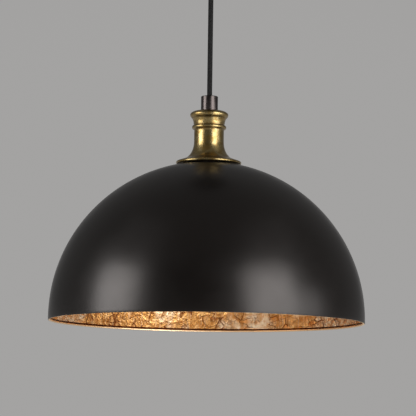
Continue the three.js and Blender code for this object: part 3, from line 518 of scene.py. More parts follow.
def metal_leaf():
    """Sheets of leaf, lapped aslant and wrinkled, with dark seams and cracks, painted shade in the
    crease above the hem, and a plain edge over the hem, paler partly as a painted highlight."""
    made = Finish("metal_leaf", Metallic=1.0)
    around, along, _ = made.split(made.place["UV"])
    across, sheet = leaf_sheets(made, around, along)
    blotch = made.noise(11 * MM, 5, 0.65, distortion=0.6)
    crack = made.cells(17 * MM, "DISTANCE_TO_EDGE", vector=made.warped(0.5, 12 * MM))
    crackle = made.cells(5 * MM, "DISTANCE_TO_EDGE", vector=made.warped(0.4, 4 * MM))
    seam = made.fade(across, 0.015, 0.055, 1.0, 0.0)
    dark = 0.0
    for lines, size, first, last in (
        (seam, 9 * MM, 0.3, 0.38),
        (made.fade(crack, 0.01, 0.07, 1.0, 0.0), 24 * MM, 0.5, 0.56),
        (made.fade(crackle, 0.0, 0.14, 0.55, 0.0), 20 * MM, 0.46, 0.56),
    ):
        broken = made.fade(made.noise(size, 2), first, last)
        dark = made.math("MAXIMUM", dark, made.times(lines, broken))
    over_hem = made.math("SUBTRACT", made.split(made.place["Object"])[2], RIM + HEM_HEIGHT)
    from_crease = made.math("ABSOLUTE", made.math("SUBTRACT", over_hem, 0.5 * MM))
    # crease: a dark line of painted shade in the fold where the wall meets the hem's roll
    crease = made.range(from_crease, 0.8 * MM, 1.2 * MM, 1.0, 0.0)
    wall = made.range(over_hem, -0.2 * MM, 0.0)
    color = made.mix(dark, leaf_metal(made, around, sheet, blotch), (0.22, 0.075, 0.02))
    # On the hem the leaf is a plain, smoother edge, and its paler colour is partly a painted highlight
    # where the roll catches light
    color = made.mix(wall, (0.93, 0.68, 0.42), color)
    # the crease colour is painted shade
    made.color(crease, color, (0.06, 0.011, 0.003))
    made.rough(blotch, 0.34, 0.48)
    for height, distance in (
        (made.fade(crack, 0.0, 0.25), 0.4 * MM),
        (made.fade(crackle, 0.0, 0.3), 0.16 * MM),
        (made.noise(3.2 * MM, 5, 0.65, distortion=0.6), 0.6 * MM),
        (seam, 0.25 * MM),
    ):
        made.bump(made.times(wall, height), distance)
    return made.material


BRASS_GROOVES = ((9.8, 1.2), (18.4, 1.1), (24.8, 1.5), (64.0, 2.4))  # mm under the cap's top, half width


def antique_brass():
    """Brushed brass with a mottled brown patina, darker in its grooves."""
    made = Finish("antique_brass", Metallic=1.0, Coat_Weight=0.2, Coat_Roughness=0.3)
    patina = made.noise(8 * MM, 5, 0.65, distortion=0.6)
    brushed = made.streaks(7, 1500, 4, 0.6)
    mottled = made.mix(made.fade(patina, 0.34, 0.62), (0.28, 0.172, 0.045), (0.43, 0.335, 0.155))
    brown = made.mix(made.range(brushed, 0.3, 0.7, 0.0, 0.4), mottled, (0.35, 0.24, 0.085))
    depth = made.math("SUBTRACT", CAP_TOP, made.split(made.place["Object"])[2])
    groove = 0.0
    for down, reach in BRASS_GROOVES:
        away = made.math("ABSOLUTE", made.math("SUBTRACT", depth, down * MM))
        groove = made.math("MAXIMUM", groove, made.fade(away, 0.0, reach * MM, 1.0, 0.0))
    groove = made.times(groove, made.range(patina, 0.25, 0.6, 0.95, 0.35))
    made.color(groove, brown, (0.13, 0.07, 0.02))
    made.rough(patina, 0.34, 0.24)
    made.bump(brushed, 0.012 * MM)
    made.bump(patina, 0.03 * MM)
    return made.material


def dark_bronze():
    """Polished dark plating, faintly brushed round."""
    made = Finish("dark_bronze", Metallic=1.0)
    brushed = made.streaks(5, 2200, 3, 0.5)
    cloud = made.noise(7 * MM, 3)
    made.color(cloud, (0.066, 0.055, 0.052), (0.105, 0.089, 0.085))
    made.rough(cloud, 0.26, 0.33)
    made.bump(brushed, 0.01 * MM)
    return made.material


def zinc_steel():
    made = Finish("zinc_steel", Metallic=1.0)
    spangle = made.split(made.cells(2.2 * MM, output="Color"))[0]
    made.color(spangle, (0.47, 0.48, 0.49), (0.60, 0.61, 0.62))
    made.rough(made.noise(3 * MM, 4), 0.26, 0.42)
    made.bump(made.noise(0.8 * MM, 3), 0.015 * MM)
    return made.material


def black_plastic():
    made = Finish("black_plastic")
    made.color(made.noise(12 * MM, 4), (0.012, 0.012, 0.013), (0.024, 0.023, 0.023))
    made.rough(made.noise(2.5 * MM, 4), 0.3, 0.45)
    made.bump(made.noise(0.6 * MM, 2), 0.012 * MM)
    return made.material


def glazed_ceramic():
    made = Finish("glazed_ceramic", Coat_Weight=0.6, Coat_Roughness=0.08)
    speck = made.fade(made.noise(0.9 * MM, 2), 0.68, 0.74)
    cloud = made.mix(made.noise(5 * MM, 3), (0.74, 0.71, 0.63), (0.84, 0.82, 0.76))
    made.color(speck, cloud, (0.42, 0.36, 0.27))
    made.rough(made.noise(4 * MM), 0.25, 0.4)
    made.bump(made.noise(2 * MM, 2), 0.03 * MM)
    return made.material


def fibre_washer():
    made = Finish("fibre_washer")
    grain = made.noise(0.7 * MM, 5, 0.7)
    made.color(grain, (0.035, 0.028, 0.024), (0.085, 0.07, 0.06))
    made.rough(grain, 0.75, 0.95)
    made.bump(grain, 0.06 * MM)
    return made.material


def black_cord():
    """A fine braid: two sets of threads that cross aslant, round and along the cord."""
    made = Finish("black_cord", Sheen_Weight=0.02, Sheen_Roughness=0.4, Specular_IOR_Level=0.16)
    around, along, _ = made.split(made.place["UV"])
    threads, lay = 12, 1.7 * MM
    right = made.wave((around, threads), (along, 1 / lay))
    left = made.wave((around, threads), (along, -1 / lay))
    braid = made.fade(made.math("MAXIMUM", right, left), -0.4, 1.0)
    # The colour is darker in the gaps between the threads: painted shade between them
    made.color(braid, (0.004, 0.004, 0.004), (0.022, 0.021, 0.021))
    made.rough(made.noise(2 * MM, 4), 0.55, 0.8)
    made.bump(braid, 0.16 * MM)
    return made.material


def insulation(name, dark, light, stripe=None):
    """Soft plastic insulation, with a stripe along it if it has a second colour."""
    made = Finish(name)
    cloud = made.color(made.noise(2 * MM, 3), dark, light)
    if stripe:
        around = made.split(made.place["UV"])[0]
        made.color(made.range(made.wave((around, 2)), -0.1, 0.1), cloud, stripe)
    made.rough(made.noise(1.5 * MM, 3), 0.38, 0.5)
    made.bump(made.noise(0.9 * MM, 2), 0.02 * MM)
    return made.material


def contact_brass():
    """Bright rolled brass with a light tarnish."""
    made = Finish("contact_brass", Metallic=1.0)
    tarnish = made.noise(4 * MM, 5, 0.6)
    made.color(made.fade(tarnish, 0.3, 0.7), (0.50, 0.33, 0.11), (0.74, 0.56, 0.25))
    made.rough(tarnish, 0.34, 0.2)
    made.bump(made.noise(0.7 * MM, 3), 0.012 * MM)
    return made.material


def clear_glass():
    """Blown glass, faintly warm and a little uneven."""
    made = Finish("clear_glass", Transmission_Weight=1.0, IOR=1.45)
    made.color(made.noise(30 * MM, 2), (0.96, 0.94, 0.90), (1.0, 0.99, 0.96))
    made.rough(made.noise(20 * MM, 3), 0.0, 0.02)
    made.bump(made.noise(22 * MM, 1), 0.12 * MM)
    return made.material


def filament_wire():
    """A wire wound from finer wire."""
    made = Finish("filament_wire", Metallic=0.6)
    along = made.split(made.place["UV"])[1]
    coil = made.wave((along, 1 / (0.5 * MM)))
    # The colour is darker in the troughs between the coil's turns and lighter on its crests: painted
    # shade
    made.color(made.range(coil, -1.0, 1.0), (0.42, 0.22, 0.06), (0.85, 0.52, 0.2))
    made.rough(made.noise(1 * MM, 3), 0.35, 0.5)
    made.bump(coil, 0.08 * MM)
    return made.material


FINISHES = {finish.__name__: finish() for finish in (
    shade_paint, metal_leaf, antique_brass, dark_bronze, zinc_steel, black_plastic, glazed_ceramic,
    fibre_washer, black_cord, contact_brass, clear_glass, filament_wire,
)}
for name, *colors in (
    ("brown_core", (0.085, 0.036, 0.016), (0.12, 0.055, 0.026)),
    ("blue_core", (0.022, 0.075, 0.26), (0.035, 0.105, 0.34)),
    ("green_core", (0.11, 0.30, 0.045), (0.17, 0.38, 0.07), (0.75, 0.62, 0.06)),
):
    FINISHES[name] = insulation(name, *colors)

for node, slot in SLOTS.items():
    materials = frame["nodes"][node].data.materials
    materials.clear()
    materials.append(FINISHES[slot])


# --- Cord ---

CORD_INSIDE = 28 * MM  # from the grip's top down to the end of the cord


def make_cord():
    """A round braided cord, straight down from its stop over the ceiling plate into the grip."""
    bottom = GRIP_TOP - CORD_INSIDE
    steps = 150
    path = [Vector((0, 0, CORD_TOP + (bottom - CORD_TOP) * i / steps)) for i in range(steps + 1)]
    cord = tube("hanging_cord", path, CORD_RADIUS, sides=32)
    cord.data.materials.append(FINISHES["black_cord"])
    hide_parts("cord", "cord_stub")
    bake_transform(cord)
    return cord, path


cord, cord_path = make_cord()


# --- Shade ---

SHADE_WALL = 1.2 * MM
HEM_WIDTH = 2.3 * MM
HEM_ROLL = 1.2 * MM  # from the hem's inner side to the middle of its roll
CROWN_HOLE = 20.3 * MM
LEAF_EDGE = 29 * MM  # from the axis, where the leaf stops round the shade ring
LEAF_CRUMPLE = 0.5 * MM


def dome(radius, first, last, steps):
    return arc((0, SHADE_CENTRE), (radius, radius), first, last, steps)


def hem_roll(nearest, half_height):
    """The rolled hem's inner side, from its top down to its lower edge."""
    centre = (SHADE_RADIUS - HEM_WIDTH + HEM_ROLL, RIM + HEM_HEIGHT / 2)
    return arc(centre, (centre[0] - nearest, half_height), math.pi / 2, 1.5 * math.pi, 12)


def make_shade():
    """A spun hemisphere with a short skirt and a hem folded inside."""
    outer, inner = SHADE_RADIUS, SHADE_RADIUS - SHADE_WALL
    fold = SHADE_RADIUS - HEM_WIDTH
    edge = 0.45 * MM
    bottom = RIM + 0.05 * MM
    outline = arc((outer - edge, bottom + edge), (edge, edge), -math.pi / 2, 0, 4)
    outline += dome(outer, 0, math.acos(CROWN_HOLE / outer), 64)
    outline += dome(inner, math.acos(CROWN_HOLE / inner), 0, 32)
    outline.append((inner, RIM + HEM_HEIGHT))
    outline += hem_roll(fold + GAP, HEM_HEIGHT / 2 - GAP)
    settle(turned("shade_shell", outline, 192), "shade")


def crumple(angle, radius, height, along):
    """How far the leaf stands off its wall, from 0 to about 1: creases, a crinkle and lapped seams."""
    spot = Vector((radius * math.cos(angle), radius * math.sin(angle), height))
    fold = 1 - abs(noise.noise(spot / (15 * MM) + Vector((0, 0, 7.3)))) * 4
    crease = 1 - abs(noise.noise(spot / (7 * MM))) * 3.4
    ripple = noise.noise(spot / (3.6 * MM) + Vector((3.1, 0, 0)))
    around = angle / (2 * math.pi)
    edge = around * LEAF_SHEETS - along * LEAF_LEAN
    for sway, to_metre, to_turn in LEAF_WAVES:
        edge += sway * math.sin(2 * math.pi * (to_metre * along + to_turn * around))
    lap = max(0, 1 - 8 * (edge % 1))
    return max(0.0, 0.4 * max(fold, 0) ** 2 + 0.25 * max(crease, 0) ** 2 + 0.2 * ripple + 0.35 * lap)


def make_leaf():
    """Leaf laid on the inside of the shade and over its hem, crumpled where it faces the room."""
    hidden, seen = SHADE_RADIUS - SHADE_WALL - GAP, SHADE_RADIUS - SHADE_WALL - 2 * GAP
    fold = SHADE_RADIUS - HEM_WIDTH - 0.1 * MM
    top = RIM + HEM_HEIGHT
    wrap = SHADE_RADIUS - 0.6 * MM
    thin = 0.1 * MM
    outline = [(wrap, RIM), (wrap, RIM + thin / 5)]
    outline += reversed(hem_roll(fold, HEM_HEIGHT / 2 - thin / 5))
    outline.append((hidden, top))
    outline += dome(hidden, 0, math.acos(LEAF_EDGE / hidden), 24)
    hidden_length = distances(outline)[-1]
    outline += dome(seen, math.acos(LEAF_EDGE / seen), 0, 136)
    wall_length = distances(outline)[-1]
    outline.append((seen, top + thin))
    outline += hem_roll(fold - thin, HEM_HEIGHT / 2)

    def lift(angle, radius, height, along):
        if not hidden_length < along < wall_length:
            return radius, height
        rise = LEAF_CRUMPLE * crumple(angle, radius, height, along)
        shrink = 1 - rise / math.hypot(radius, height - SHADE_CENTRE)
        return radius * shrink, SHADE_CENTRE + (height - SHADE_CENTRE) * shrink

    settle(turned("leaf", outline, 720, shift=lift, sharp_angle=60), "leaf_lining")


make_shade()
make_leaf()


# --- Brass cap and cord grip ---


def cap_outline():
    """Rounded lip, waist, bead, neck and flare, and a flange with a rolled edge. Sizes are in
    millimetres from the axis and up from the cap's top face."""
    flat, lip, lip_end, cove, waist = 12, (24.4, -5.3), (23.3, -8.5), (20.4, -11.1), (19.9, -16.4)
    bead, bead_height, bead_half, fillet = 21.9, -21.5, 2.7, 0.8
    neck, flare = (19, -40), (29, -61.2)
    roll, standoff, wall, top = 2, 1.5, 1.2, 1.5
    hole = (SHANK_RADIUS + GAP) / MM
    bead_root = (waist[0] + neck[0]) / 2
    flange = high("brass_cap").y / MM - roll
    shade_height = math.sqrt((SHADE_RADIUS / MM) ** 2 - flange**2) - (CAP_TOP - SHADE_CENTRE) / MM
    flange_height = shade_height + standoff + roll
    inside = neck[0] - wall
    outline = [(hole, 0), (flat, 0)]
    outline += arc((flat, lip[1]), (lip[0] - flat, -lip[1]), math.pi / 2, 0, 16)[1:]
    outline += curve(lip, (lip[0], (lip[1] + lip_end[1]) / 2), lip_end, steps=6)
    outline += curve(lip_end, cove, waist, steps=12)
    outline += line(waist, (bead_root, bead_height + bead_half), 2)
    bead_radii = (bead - bead_root, bead_half)
    outline += arc((bead_root, bead_height), bead_radii, math.pi / 2, -math.pi / 2, 14)[1:]
    outline.append((neck[0], bead_height - bead_half - fillet))
    outline += line(outline[-1], neck, 6)
    outline += curve(neck, (19.2, -50.5), (23.4, -57.3), flare, steps=24)
    outline += line(flare, (flange, flange_height + roll), 4)
    outline += arc((flange, flange_height), (roll, roll), math.pi / 2, -math.pi, 14)[1:]
    outline += line(outline[-1], (flare[0] - wall, flare[1] - wall), 3)
    outline += curve(outline[-1], (22.3, -58.3), (inside + 0.2, -51), (inside, neck[1]), steps=16)
    outline += [(inside, -top), (hole, -top)]
    return [(r * MM, CAP_TOP + z * MM) for r, z in outline]


def make_grip():
    """A round collar over the cord, its edges rounded, with a slotted clamping screw behind."""
    bottom, radius = low("cord_grip").z, high("cord_grip").y
    bore = CORD_RADIUS + GAP
    nipple, step = high("nipple").y + GAP, high("nipple").z + GAP
    edge = 0.9 * MM
    outline = [(bore, GRIP_TOP - edge / 3), (bore + edge / 3, GRIP_TOP)]
    outline += arc((radius - edge, GRIP_TOP - edge), (edge, edge), math.pi / 2, 0, 6)
    outline += arc((radius - edge / 3, bottom + edge / 3), (edge / 3, edge / 3), 0, -math.pi / 2, 3)
    outline += [(nipple, bottom), (nipple, step), (bore, step)]
    grip = turned("cord_collar", outline, 64)
    height = middle("grip_screw").z
    carve(grip, rod((0, 0, height), (0, 2 * radius, height), SCREW_HOLE))
    settle(grip, "cord_grip")


settle(turned("turned_cap", cap_outline(), 128, sharp_angle=50), "brass_cap")
make_grip()


# --- Screws, nuts and wires ---

HEAD_RATIO = 1.8  # a pan head's width to its screw's
SIDES = ((1, "live"), (-1, "neutral"))


def make_screw(node, toward=(0, 0, 1), pitch=None, point=0.5 * MM, cross=False):
    """A pan-head screw with a threaded shank, whose head is at the far end from a direction."""
    along = max(range(3), key=lambda k: abs(toward[k]))
    wide = 0 if along == 2 else 2
    box = high(node) - low(node)
    head = box[wide] / 2
    diameter = 2 * head / HEAD_RATIO
    radius, rise = diameter / 2, 0.55 * diameter
    length = box[along] - rise
    pitch = pitch or diameter / 6
    outline = [(0, length), (max(0.25 * MM, radius - point), length), (radius, length - point)]
    outline += [(radius, 0.05 * MM), (radius, 0), (0.97 * head, 0), (head, -0.08 * rise)]
    outline += curve(outline[-1], (head, -0.7 * rise), (0.8 * head, -rise), (0.4 * head, -rise), steps=8)
    outline.append((0, -rise))
    cut = thread(pitch, 0.14 * diameter, radius, 0.3 * MM, length - point)
    piece = turned("fine_" + node, divided(outline, pitch / 6), 24, shift=cut)
    half, reach, depth = 0.11 * diameter, (0.55 if cross else 1.1) * head, 0.5 * rise
    slots = [block((-reach, -half, -2 * rise), (reach, half, depth - rise))]
    if cross:
        slots.append(block((-half, -reach, -2 * rise), (half, reach, depth - rise)))
    carve(piece, *slots)
    turn = Vector((0, 0, 1)).rotation_difference(Vector(toward)).to_matrix().to_4x4()
    place = middle(node)
    place[along] += toward[along] * (rise - box[along] / 2)
    piece.data.transform(Matrix.Translation(place) @ turn)
    settle(piece, node)


def make_set_screw(node, outward):
    """A headless screw along Y with a slot in its outer end."""
    box = high(node) - low(node)
    radius, length, edge = box.z / 2, box.y, 0.3 * MM
    outline = [(0, 0), (radius - edge, 0), (radius, edge), (radius, length - edge)]
    outline += [(radius - edge, length), (0, length)]
    cut = thread(0.5 * MM, 0.3 * MM, radius, edge, length - edge)
    piece = turned("fine_" + node, divided(outline, 0.1 * MM), 24, shift=cut)
    half = 0.25 * MM
    carve(piece, block((-2 * radius, -half, length - 1 * MM), (2 * radius, half, length + 1 * MM)))
    start = low(node).y if outward > 0 else high(node).y
    place = Matrix.Translation((0, start, middle(node).z))
    piece.data.transform(place @ Matrix.Rotation(-outward * math.pi / 2, 4, "X"))
    settle(piece, node)


def make_wire(node, points, radius=CORE_RADIUS, steps=8, sides=16):
    """A wire along a smooth path through points in millimetres."""
    path = smooth_path([Vector(p) * MM for p in points], steps)
    settle(tube("fine_" + node, path, radius, sides), node)


def make_screws():
    for side, inward in (("left", 1), ("right", -1)):
        make_screw("ceiling_screw_" + side, pitch=1.6 * MM, point=7 * MM, cross=True)
        make_screw("canopy_screw_" + side, (inward, 0, 0))
    make_screw("block_screw")
    for i in range(4):
        make_screw("terminal_screw_" + str(i + 1))
    make_screw("bracket_earth_screw", cross=True)
    for _, name in SIDES:
        make_screw(name + "_screw", (0, 0, -1))
    make_screw("holder_earth_screw", cross=True)
    make_set_screw("stop_screw", -1)
    make_set_screw("grip_screw", 1)


def make_ceiling_wires():
    start = (CORD_TOP + GAP) / MM
    edge = low("terminal_block").x / MM
    clamp = high("terminal_block").z / MM - 4
    beam = -(BRACKET_THICKNESS + GAP + CORE_RADIUS) / MM
    offset = CORE_OFFSET / MM
    x = offset * math.sqrt(0.5)
    for side, name in SIDES:
        make_wire("ceiling_" + name + "_core", [
            (edge + 4, side * 4, clamp),
            (edge, side * 4, clamp),
            (edge - 2, side * 4, clamp),
            (edge / 2, side * 3.2, (beam + CORD_TOP / MM) / 2),
            (x, side * x, start + 1),
            (x, side * x, start),
        ])
    make_wire("ceiling_earth_core", [
        (high("bracket_earth_screw").x / MM + 0.3, 0, beam),
        (-8, 0, beam),
        (-4, 0, beam - 1),
        (-offset, 0, start + 1),
        (-offset, 0, start),
    ])


def make_holder_wires():
    start = (low("cord").z - GAP) / MM
    clamp = (high("holder_body").z + GAP + CORE_RADIUS) / MM
    offset, terminal = CORE_OFFSET / MM, TERMINAL_RADIUS / MM
    for side, name in SIDES:
        make_wire(name + "_core", [
            (side * (terminal - 3), 0, clamp + GAP / MM),
            (side * (offset + 1.5), 0, (start + clamp) / 2 - 1),
            (side * offset, 0, start - 1),
            (side * offset, 0, start),
        ])
    make_wire("earth_core", [
        (0, terminal, (low("holder_earth_screw").z - GAP) / MM),
        (0, terminal, start - 2),
        (0, terminal / 2, start - 4),
        (0, offset, start - 1),
        (0, offset, start),
    ])


make_screws()
make_ceiling_wires()
make_holder_wires()
bevelled("fine_outlet_nut", "outlet_nut", 0.35 * MM)
bevelled("fine_nipple_nut", "nipple_nut", 0.35 * MM)


# --- Ceiling fitting ---


def ring(node, inner, edge):
    """The rounded outline of a round piece, from its hole to a CAD node's outside."""
    outer, (top, bottom) = high(node).x, heights(node)
    return rounded([(inner, top), (outer, top), (outer, bottom), (inner, bottom)], edge)


def make_canopy():
    """A spun cup with a rounded corner and a rolled edge against the ceiling."""
    outer, bottom = high("canopy").x, CANOPY_BOTTOM
    wall, corner, screw_hole = 1.2 * MM, 8 * MM, 2.3 * MM
    hole = SHANK_RADIUS + GAP
    centre = (outer - corner, bottom + corner)
    inside = corner - wall
    outline = [(hole, bottom)] + line((hole, bottom), (centre[0], bottom), 6)
    outline += arc(centre, (corner, corner), -math.pi / 2, 0, 16)[1:]
    outline += line((outer, centre[1]), (outer, -0.4 * MM), 4)
    outline += [(outer - 0.2 * MM, -0.1 * MM), (outer - 0.5 * MM, 0), (outer - wall + 0.2 * MM, 0)]
    outline.append((outer - wall, -0.2 * MM))
    outline += arc(centre, (inside, inside), 0, -math.pi / 2, 10)
    outline += line((centre[0], bottom + wall), (hole, bottom + wall), 4)
    canopy = turned("ceiling_canopy", outline, 160)
    height = middle("canopy_screw_left").z
    carve(canopy, rod((-2 * outer, 0, height), (2 * outer, 0, height), screw_hole))
    settle(canopy, "canopy")


def make_outlet():
    """A turned outlet with a threaded shank, whose bore opens into a cone for the cord to lean in."""
    outer, (top, bottom) = high("cord_outlet").x, heights("cord_outlet")
    under = CANOPY_BOTTOM - GAP
    bore = CORD_RADIUS + 0.5 * MM
    lean = math.radians(30)
    pivot = CORD_RADIUS / math.cos(lean) + GAP
    mouth = pivot + OUTLET_CONE * math.tan(lean)
    corners = [(bore, top), (bore, SWING_PIVOT + (pivot - bore) / math.tan(lean)), (mouth, bottom)]
    corners += [(outer - 1 * MM, bottom), (outer, bottom + 1 * MM), (outer, under)]
    corners += [(SHANK_RADIUS, under), (SHANK_RADIUS, top)]
    outline = divided(rounded(corners, 0.5 * MM), 0.2 * MM)
    cut = thread(1 * MM, 0.45 * MM, SHANK_RADIUS, CANOPY_BOTTOM + 1.5 * MM, top - 0.5 * MM)
    settle(turned("outlet_bush", outline, 64, shift=cut), "cord_outlet")


def make_stop():
    stop = turned("stop_collar", ring("cord_stop", CORD_RADIUS + GAP, 0.6 * MM), 48)
    height = middle("stop_screw").z
    carve(stop, rod((0, 0, height), (0, -12 * MM, height), SCREW_HOLE))
    settle(stop, "cord_stop")


make_canopy()
make_outlet()
make_stop()
bevelled("fine_bracket", "mounting_bracket", 0.3 * MM)
bevelled("fine_block", "terminal_block", 0.6 * MM)


# --- Lampholder ---

SKIRT_RADIUS = 19.7 * MM
HOLDER_BORE = 14.3 * MM
BULB_PITCH = 25.4 / 7 * MM


def make_ring():
    """A shade ring with a fluted outside."""
    outer = high("shade_ring").x

    def flute(angle, r, z, along):
        if r < outer - 0.1 * MM:
            return r, z
        return r - 0.45 * MM * (0.5 - 0.5 * math.cos(60 * angle)), z

    outline = divided(ring("shade_ring", SKIRT_RADIUS + GAP, 0.7 * MM), 1 * MM)
    settle(turned("fluted_ring", outline, 360, shift=flute, sharp_angle=60), "shade_ring")


def make_holder():
    """A moulded body with a shoulder over the shade, and a threaded skirt below it."""
    top, bottom = heights("holder_body")
    radius, shoulder, mouth = high("holder_cap").x, high("holder_body").x, 16.5 * MM
    under = high("shade_washer").z + GAP
    step = bottom + 8 * MM
    corners = [(HOLDER_BORE, top), (radius, top), (radius, under + 3 * MM), (shoulder, under + 3 * MM)]
    corners += [(shoulder, under), (SKIRT_RADIUS, under), (SKIRT_RADIUS, bottom), (mouth, bottom)]
    corners += [(mouth, step), (HOLDER_BORE, step + mouth - HOLDER_BORE)]
    outline = divided(rounded(corners, 0.5 * MM), 0.4 * MM)
    cut = thread(2 * MM, 0.7 * MM, SKIRT_RADIUS, bottom + 0.6 * MM, under - 1 * MM)
    settle(turned("holder_moulding", outline, 96, shift=cut), "holder_body")


def make_holder_cap():
    radius, (top, bottom) = high("holder_cap").x, heights("holder_cap")
    wall, hole = 1.5 * MM, SHANK_RADIUS + GAP
    corners = [(hole, top), (radius - wall, top), (radius, top - wall), (radius, bottom)]
    corners += [(radius - wall, bottom), (radius - wall, top - wall), (hole, top - wall)]
    cap = turned("holder_dome", rounded(corners, 1 * MM), 64)
    carve(cap, rod((0, TERMINAL_RADIUS, top - 9 * MM), (0, TERMINAL_RADIUS, top + 3 * MM), SCREW_HOLE))
    settle(cap, "holder_cap")


def make_contact_block():
    base = turned("contact_base", ring("contact_block", 0, 0.6 * MM), 48)
    top = high("contact_block").z
    for x in (-TERMINAL_RADIUS, TERMINAL_RADIUS):
        carve(base, rod((x, 0, top - 6.5 * MM), (x, 0, top + 3 * MM), SCREW_HOLE))
    settle(base, "contact_block")


def make_shell():
    """The thin metal sleeve that the bulb screws into."""
    top, bottom = heights("screw_shell")
    roll = thread(BULB_PITCH, 0.3 * MM, 13.75 * MM, bottom, top, wall=0.4 * MM)
    outline = divided(ring("screw_shell", 13.5 * MM, 0.1 * MM), 0.45 * MM)
    settle(turned("rolled_shell", outline, 72, shift=roll), "screw_shell")


def make_nipple():
    top, bottom = heights("nipple")
    cut = thread(1 * MM, 0.45 * MM, SHANK_RADIUS, bottom + 0.4 * MM, top - 0.4 * MM)
    outline = divided(ring("nipple", CORD_RADIUS + GAP, 0.3 * MM), 0.17 * MM)
    settle(turned("threaded_nipple", outline, 32, shift=cut), "nipple")


make_ring()
make_holder()
make_holder_cap()
make_contact_block()
make_shell()
bevelled("contact_tongue", "centre_contact", 0.12 * MM)
make_nipple()
settle(turned("fibre_disc", ring("shade_washer", SKIRT_RADIUS + GAP, 0.3 * MM), 96), "shade_washer")


# --- Bulb ---

BULB_MOUTH = low("bulb_base").z  # lower edge of the metal base
BULB_RADIUS = high("bulb_glass").x
BULB_CENTRE = low("bulb_glass").z + BULB_RADIUS
GLASS_WALL = 0.8 * MM
NECK = 12.4 * MM


def bulb_profile(radius, neck):
    """A line down from the neck, round into a sphere and on to its lowest point."""
    angle = math.pi / 6
    touch = (radius * math.cos(angle), BULB_CENTRE + radius * math.sin(angle))
    reach = radius / 2
    above = (neck, BULB_MOUTH - 6 * MM - reach / 2)
    beside = (touch[0] - reach * math.sin(angle), touch[1] + reach * math.cos(angle))
    points = [(neck, BULB_MOUTH - 0.2 * MM)]
    points += curve(points[0], above, beside, touch, steps=28)
    return points + arc((0, BULB_CENTRE), (radius, radius), angle, -math.pi / 2, 44)[1:]


def make_glass():
    """A blown globe, open at its neck, and the glass stem sealed into it."""
    top = high("bulb_glass").z
    outside = bulb_profile(BULB_RADIUS, NECK)
    inside = bulb_profile(BULB_RADIUS - GLASS_WALL, NECK - GLASS_WALL)
    outline = [(NECK - GLASS_WALL, top), (NECK, top)] + outside + inside[::-1]
    settle(turned("glass_globe", outline, 96, sharp_angle=60), "bulb_glass")
    flare, stem = 11.3 * MM, 2.6 * MM
    foot = low("bulb_stem").z
    outline = [(0, top), (flare - 0.3 * MM, top), (flare, top - 0.3 * MM)]
    outline += curve(outline[-1], (stem, top - 1 * MM), (stem, BULB_MOUTH - 7 * MM), steps=20)
    outline += line(outline[-1], (stem, foot + 3 * MM), 4)
    outline += curve(outline[-1], (stem, foot), (0, foot), steps=8)
    settle(turned("glass_stem", outline, 48, sharp_angle=60), "bulb_stem")


def make_base():
    """The bulb's metal base with its rolled thread, its black insulator and its soldered tip."""
    top, radius, wall = high("bulb_base").z, high("bulb_base").x, 0.4 * MM
    roll = thread(BULB_PITCH, 0.95 * MM, radius - wall / 2, BULB_MOUTH + 7.2 * MM, top, wall=wall)
    outline = divided(ring("bulb_base", radius - wall, 0.1 * MM), 0.35 * MM)
    settle(turned("rolled_base", outline, 96, shift=roll), "bulb_base")
    top, bottom = heights("bulb_insulator")
    corners = [(0, bottom), (radius - wall, bottom), (4.9 * MM, top), (0, top)]
    settle(turned("glass_insulator", rounded(corners, 0.8 * MM), 48), "bulb_insulator")
    button, (tip, foot) = high("bulb_contact").x, heights("bulb_contact")
    outline = [(0, foot), (0.96 * button, foot)]
    outline += curve(outline[-1], (button, tip), (0, tip), steps=14)
    settle(turned("solder_tip", outline, 32), "bulb_contact")


def make_filament():
    """One wire out of the stem, up and down in four bays and back."""
    bays, radius, seat = 4, 9, 3.5
    mouth, foot = BULB_MOUTH / MM, low("bulb_stem").z / MM
    below, above = foot - 8, mouth - (mouth - foot) / 3
    first, step = -math.pi / 2, 1.6 * math.pi / (2 * bays - 1)
    places = [(first, seat, above)]
    places += [(first + i * step, radius, below if i % 2 else above) for i in range(2 * bays + 1)]
    places.append((first + 2 * bays * step, seat, above))
    points = [(r * math.cos(angle), r * math.sin(angle), z) for angle, r, z in places]
    make_wire("bulb_filament", points, 0.6 * MM, steps=14, sides=12)


make_glass()
make_base()
make_filament()


# --- Floor and light ---

FLOOR = RIM - 4.2


def make_floor():
    reach = 60
    corners = [(x * reach, y * reach, FLOOR) for x, y in ((-1, -1), (1, -1), (1, 1), (-1, 1))]
    floor = make_object("floor", corners, [(0, 1, 2, 3)])
    made = Finish("floor", Roughness=0.9, Specular_IOR_Level=0.1)
    cloud = made.color(made.noise(0.8, 3), (0.66, 0.65, 0.64), (0.70, 0.69, 0.68))
    ray = made.nodes.new("ShaderNodeLightPath").outputs
    seen = made.math("ADD", ray["Is Camera Ray"], ray["Is Glossy Ray"])
    seen = made.math("ADD", seen, ray["Is Transmission Ray"])
    made.links.new(cloud, made.shader.inputs["Emission Color"])
    made.links.new(made.times(seen, 0.4), made.shader.inputs["Emission Strength"])
    floor.data.materials.append(made.material)


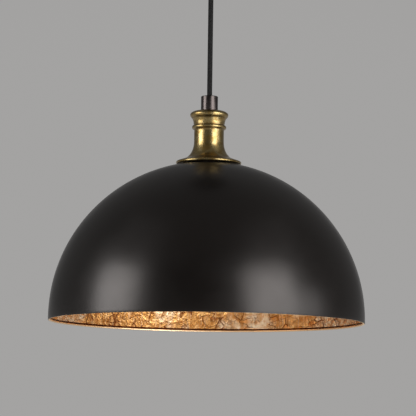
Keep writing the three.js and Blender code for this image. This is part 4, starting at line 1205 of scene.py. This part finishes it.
def make_world():
    """Pale behind, and greyer all round, darkest straight in front."""
    world = bpy.data.worlds.new("studio")
    bpy.context.scene.world = world
    graph = Graph(world)
    _, toward, up = graph.split(graph.place["Generated"])
    behind = graph.fade(toward, 0.86, 0.985)
    front = graph.fade(toward, -0.3, -0.9)
    raised = graph.fade(up, -0.05, 0.12)
    overhead = graph.fade(up, 0.45, 0.85)
    grey = graph.mix(raised, (0.24, 0.237, 0.233), (0.14, 0.139, 0.138))
    grey = graph.mix(graph.times(front, raised), grey, (0.05, 0.05, 0.05))
    grey = graph.mix(overhead, grey, (0.15, 0.149, 0.147))
    color = graph.mix(behind, grey, (0.37, 0.365, 0.36))
    graph.links.new(color, graph.nodes["Background"].inputs["Color"])


MIDDLE = (0, 0, RIM + 0.1)
CAP_MIDDLE = (0, 0, CAP_TOP - 0.05)


def softbox(name, direction, width, height, radiance, distance=2.2, target=MIDDLE):
    """An area light that faces a target from a direction, at a brightness as seen."""
    data = bpy.data.lights.new(name, "AREA")
    data.shape = "RECTANGLE"
    data.size, data.size_y = width, height
    data.energy = radiance * width * height * math.pi
    light = add_object(name, data)
    away = Vector(direction).normalized()
    light.location = Vector(target) + away * distance
    light.rotation_euler = away.to_track_quat("Z", "Y").to_euler()
    light.visible_camera = False


make_floor()
make_world()
softbox("left_box", (-0.92, -0.39, 0.19), 1.25, 1.22, 5.3)
softbox("right_box", (0.713, -0.70, 0.18), 1.4, 1.46, 4.9)
softbox("side_box", (0.96, -0.28, 0.03), 0.9, 0.8, 2.0)
softbox("upper_left_box", (-0.85, -0.35, 0.9), 1.4, 1.0, 0.16, target=CAP_MIDDLE)
softbox("upper_right_box", (0.85, -0.35, 0.9), 1.4, 1.0, 0.16, target=CAP_MIDDLE)
softbox("low_left_box", (-0.87, -0.45, -0.56), 1.0, 1.0, 0.4, 1.8)
softbox("low_right_box", (0.74, -0.67, -0.56), 1.1, 1.0, 2.6, 1.8)
softbox("mouth_box", (0.45, -0.3, -0.85), 0.24, 0.12, 11.0, 0.32, (0, 0, RIM))
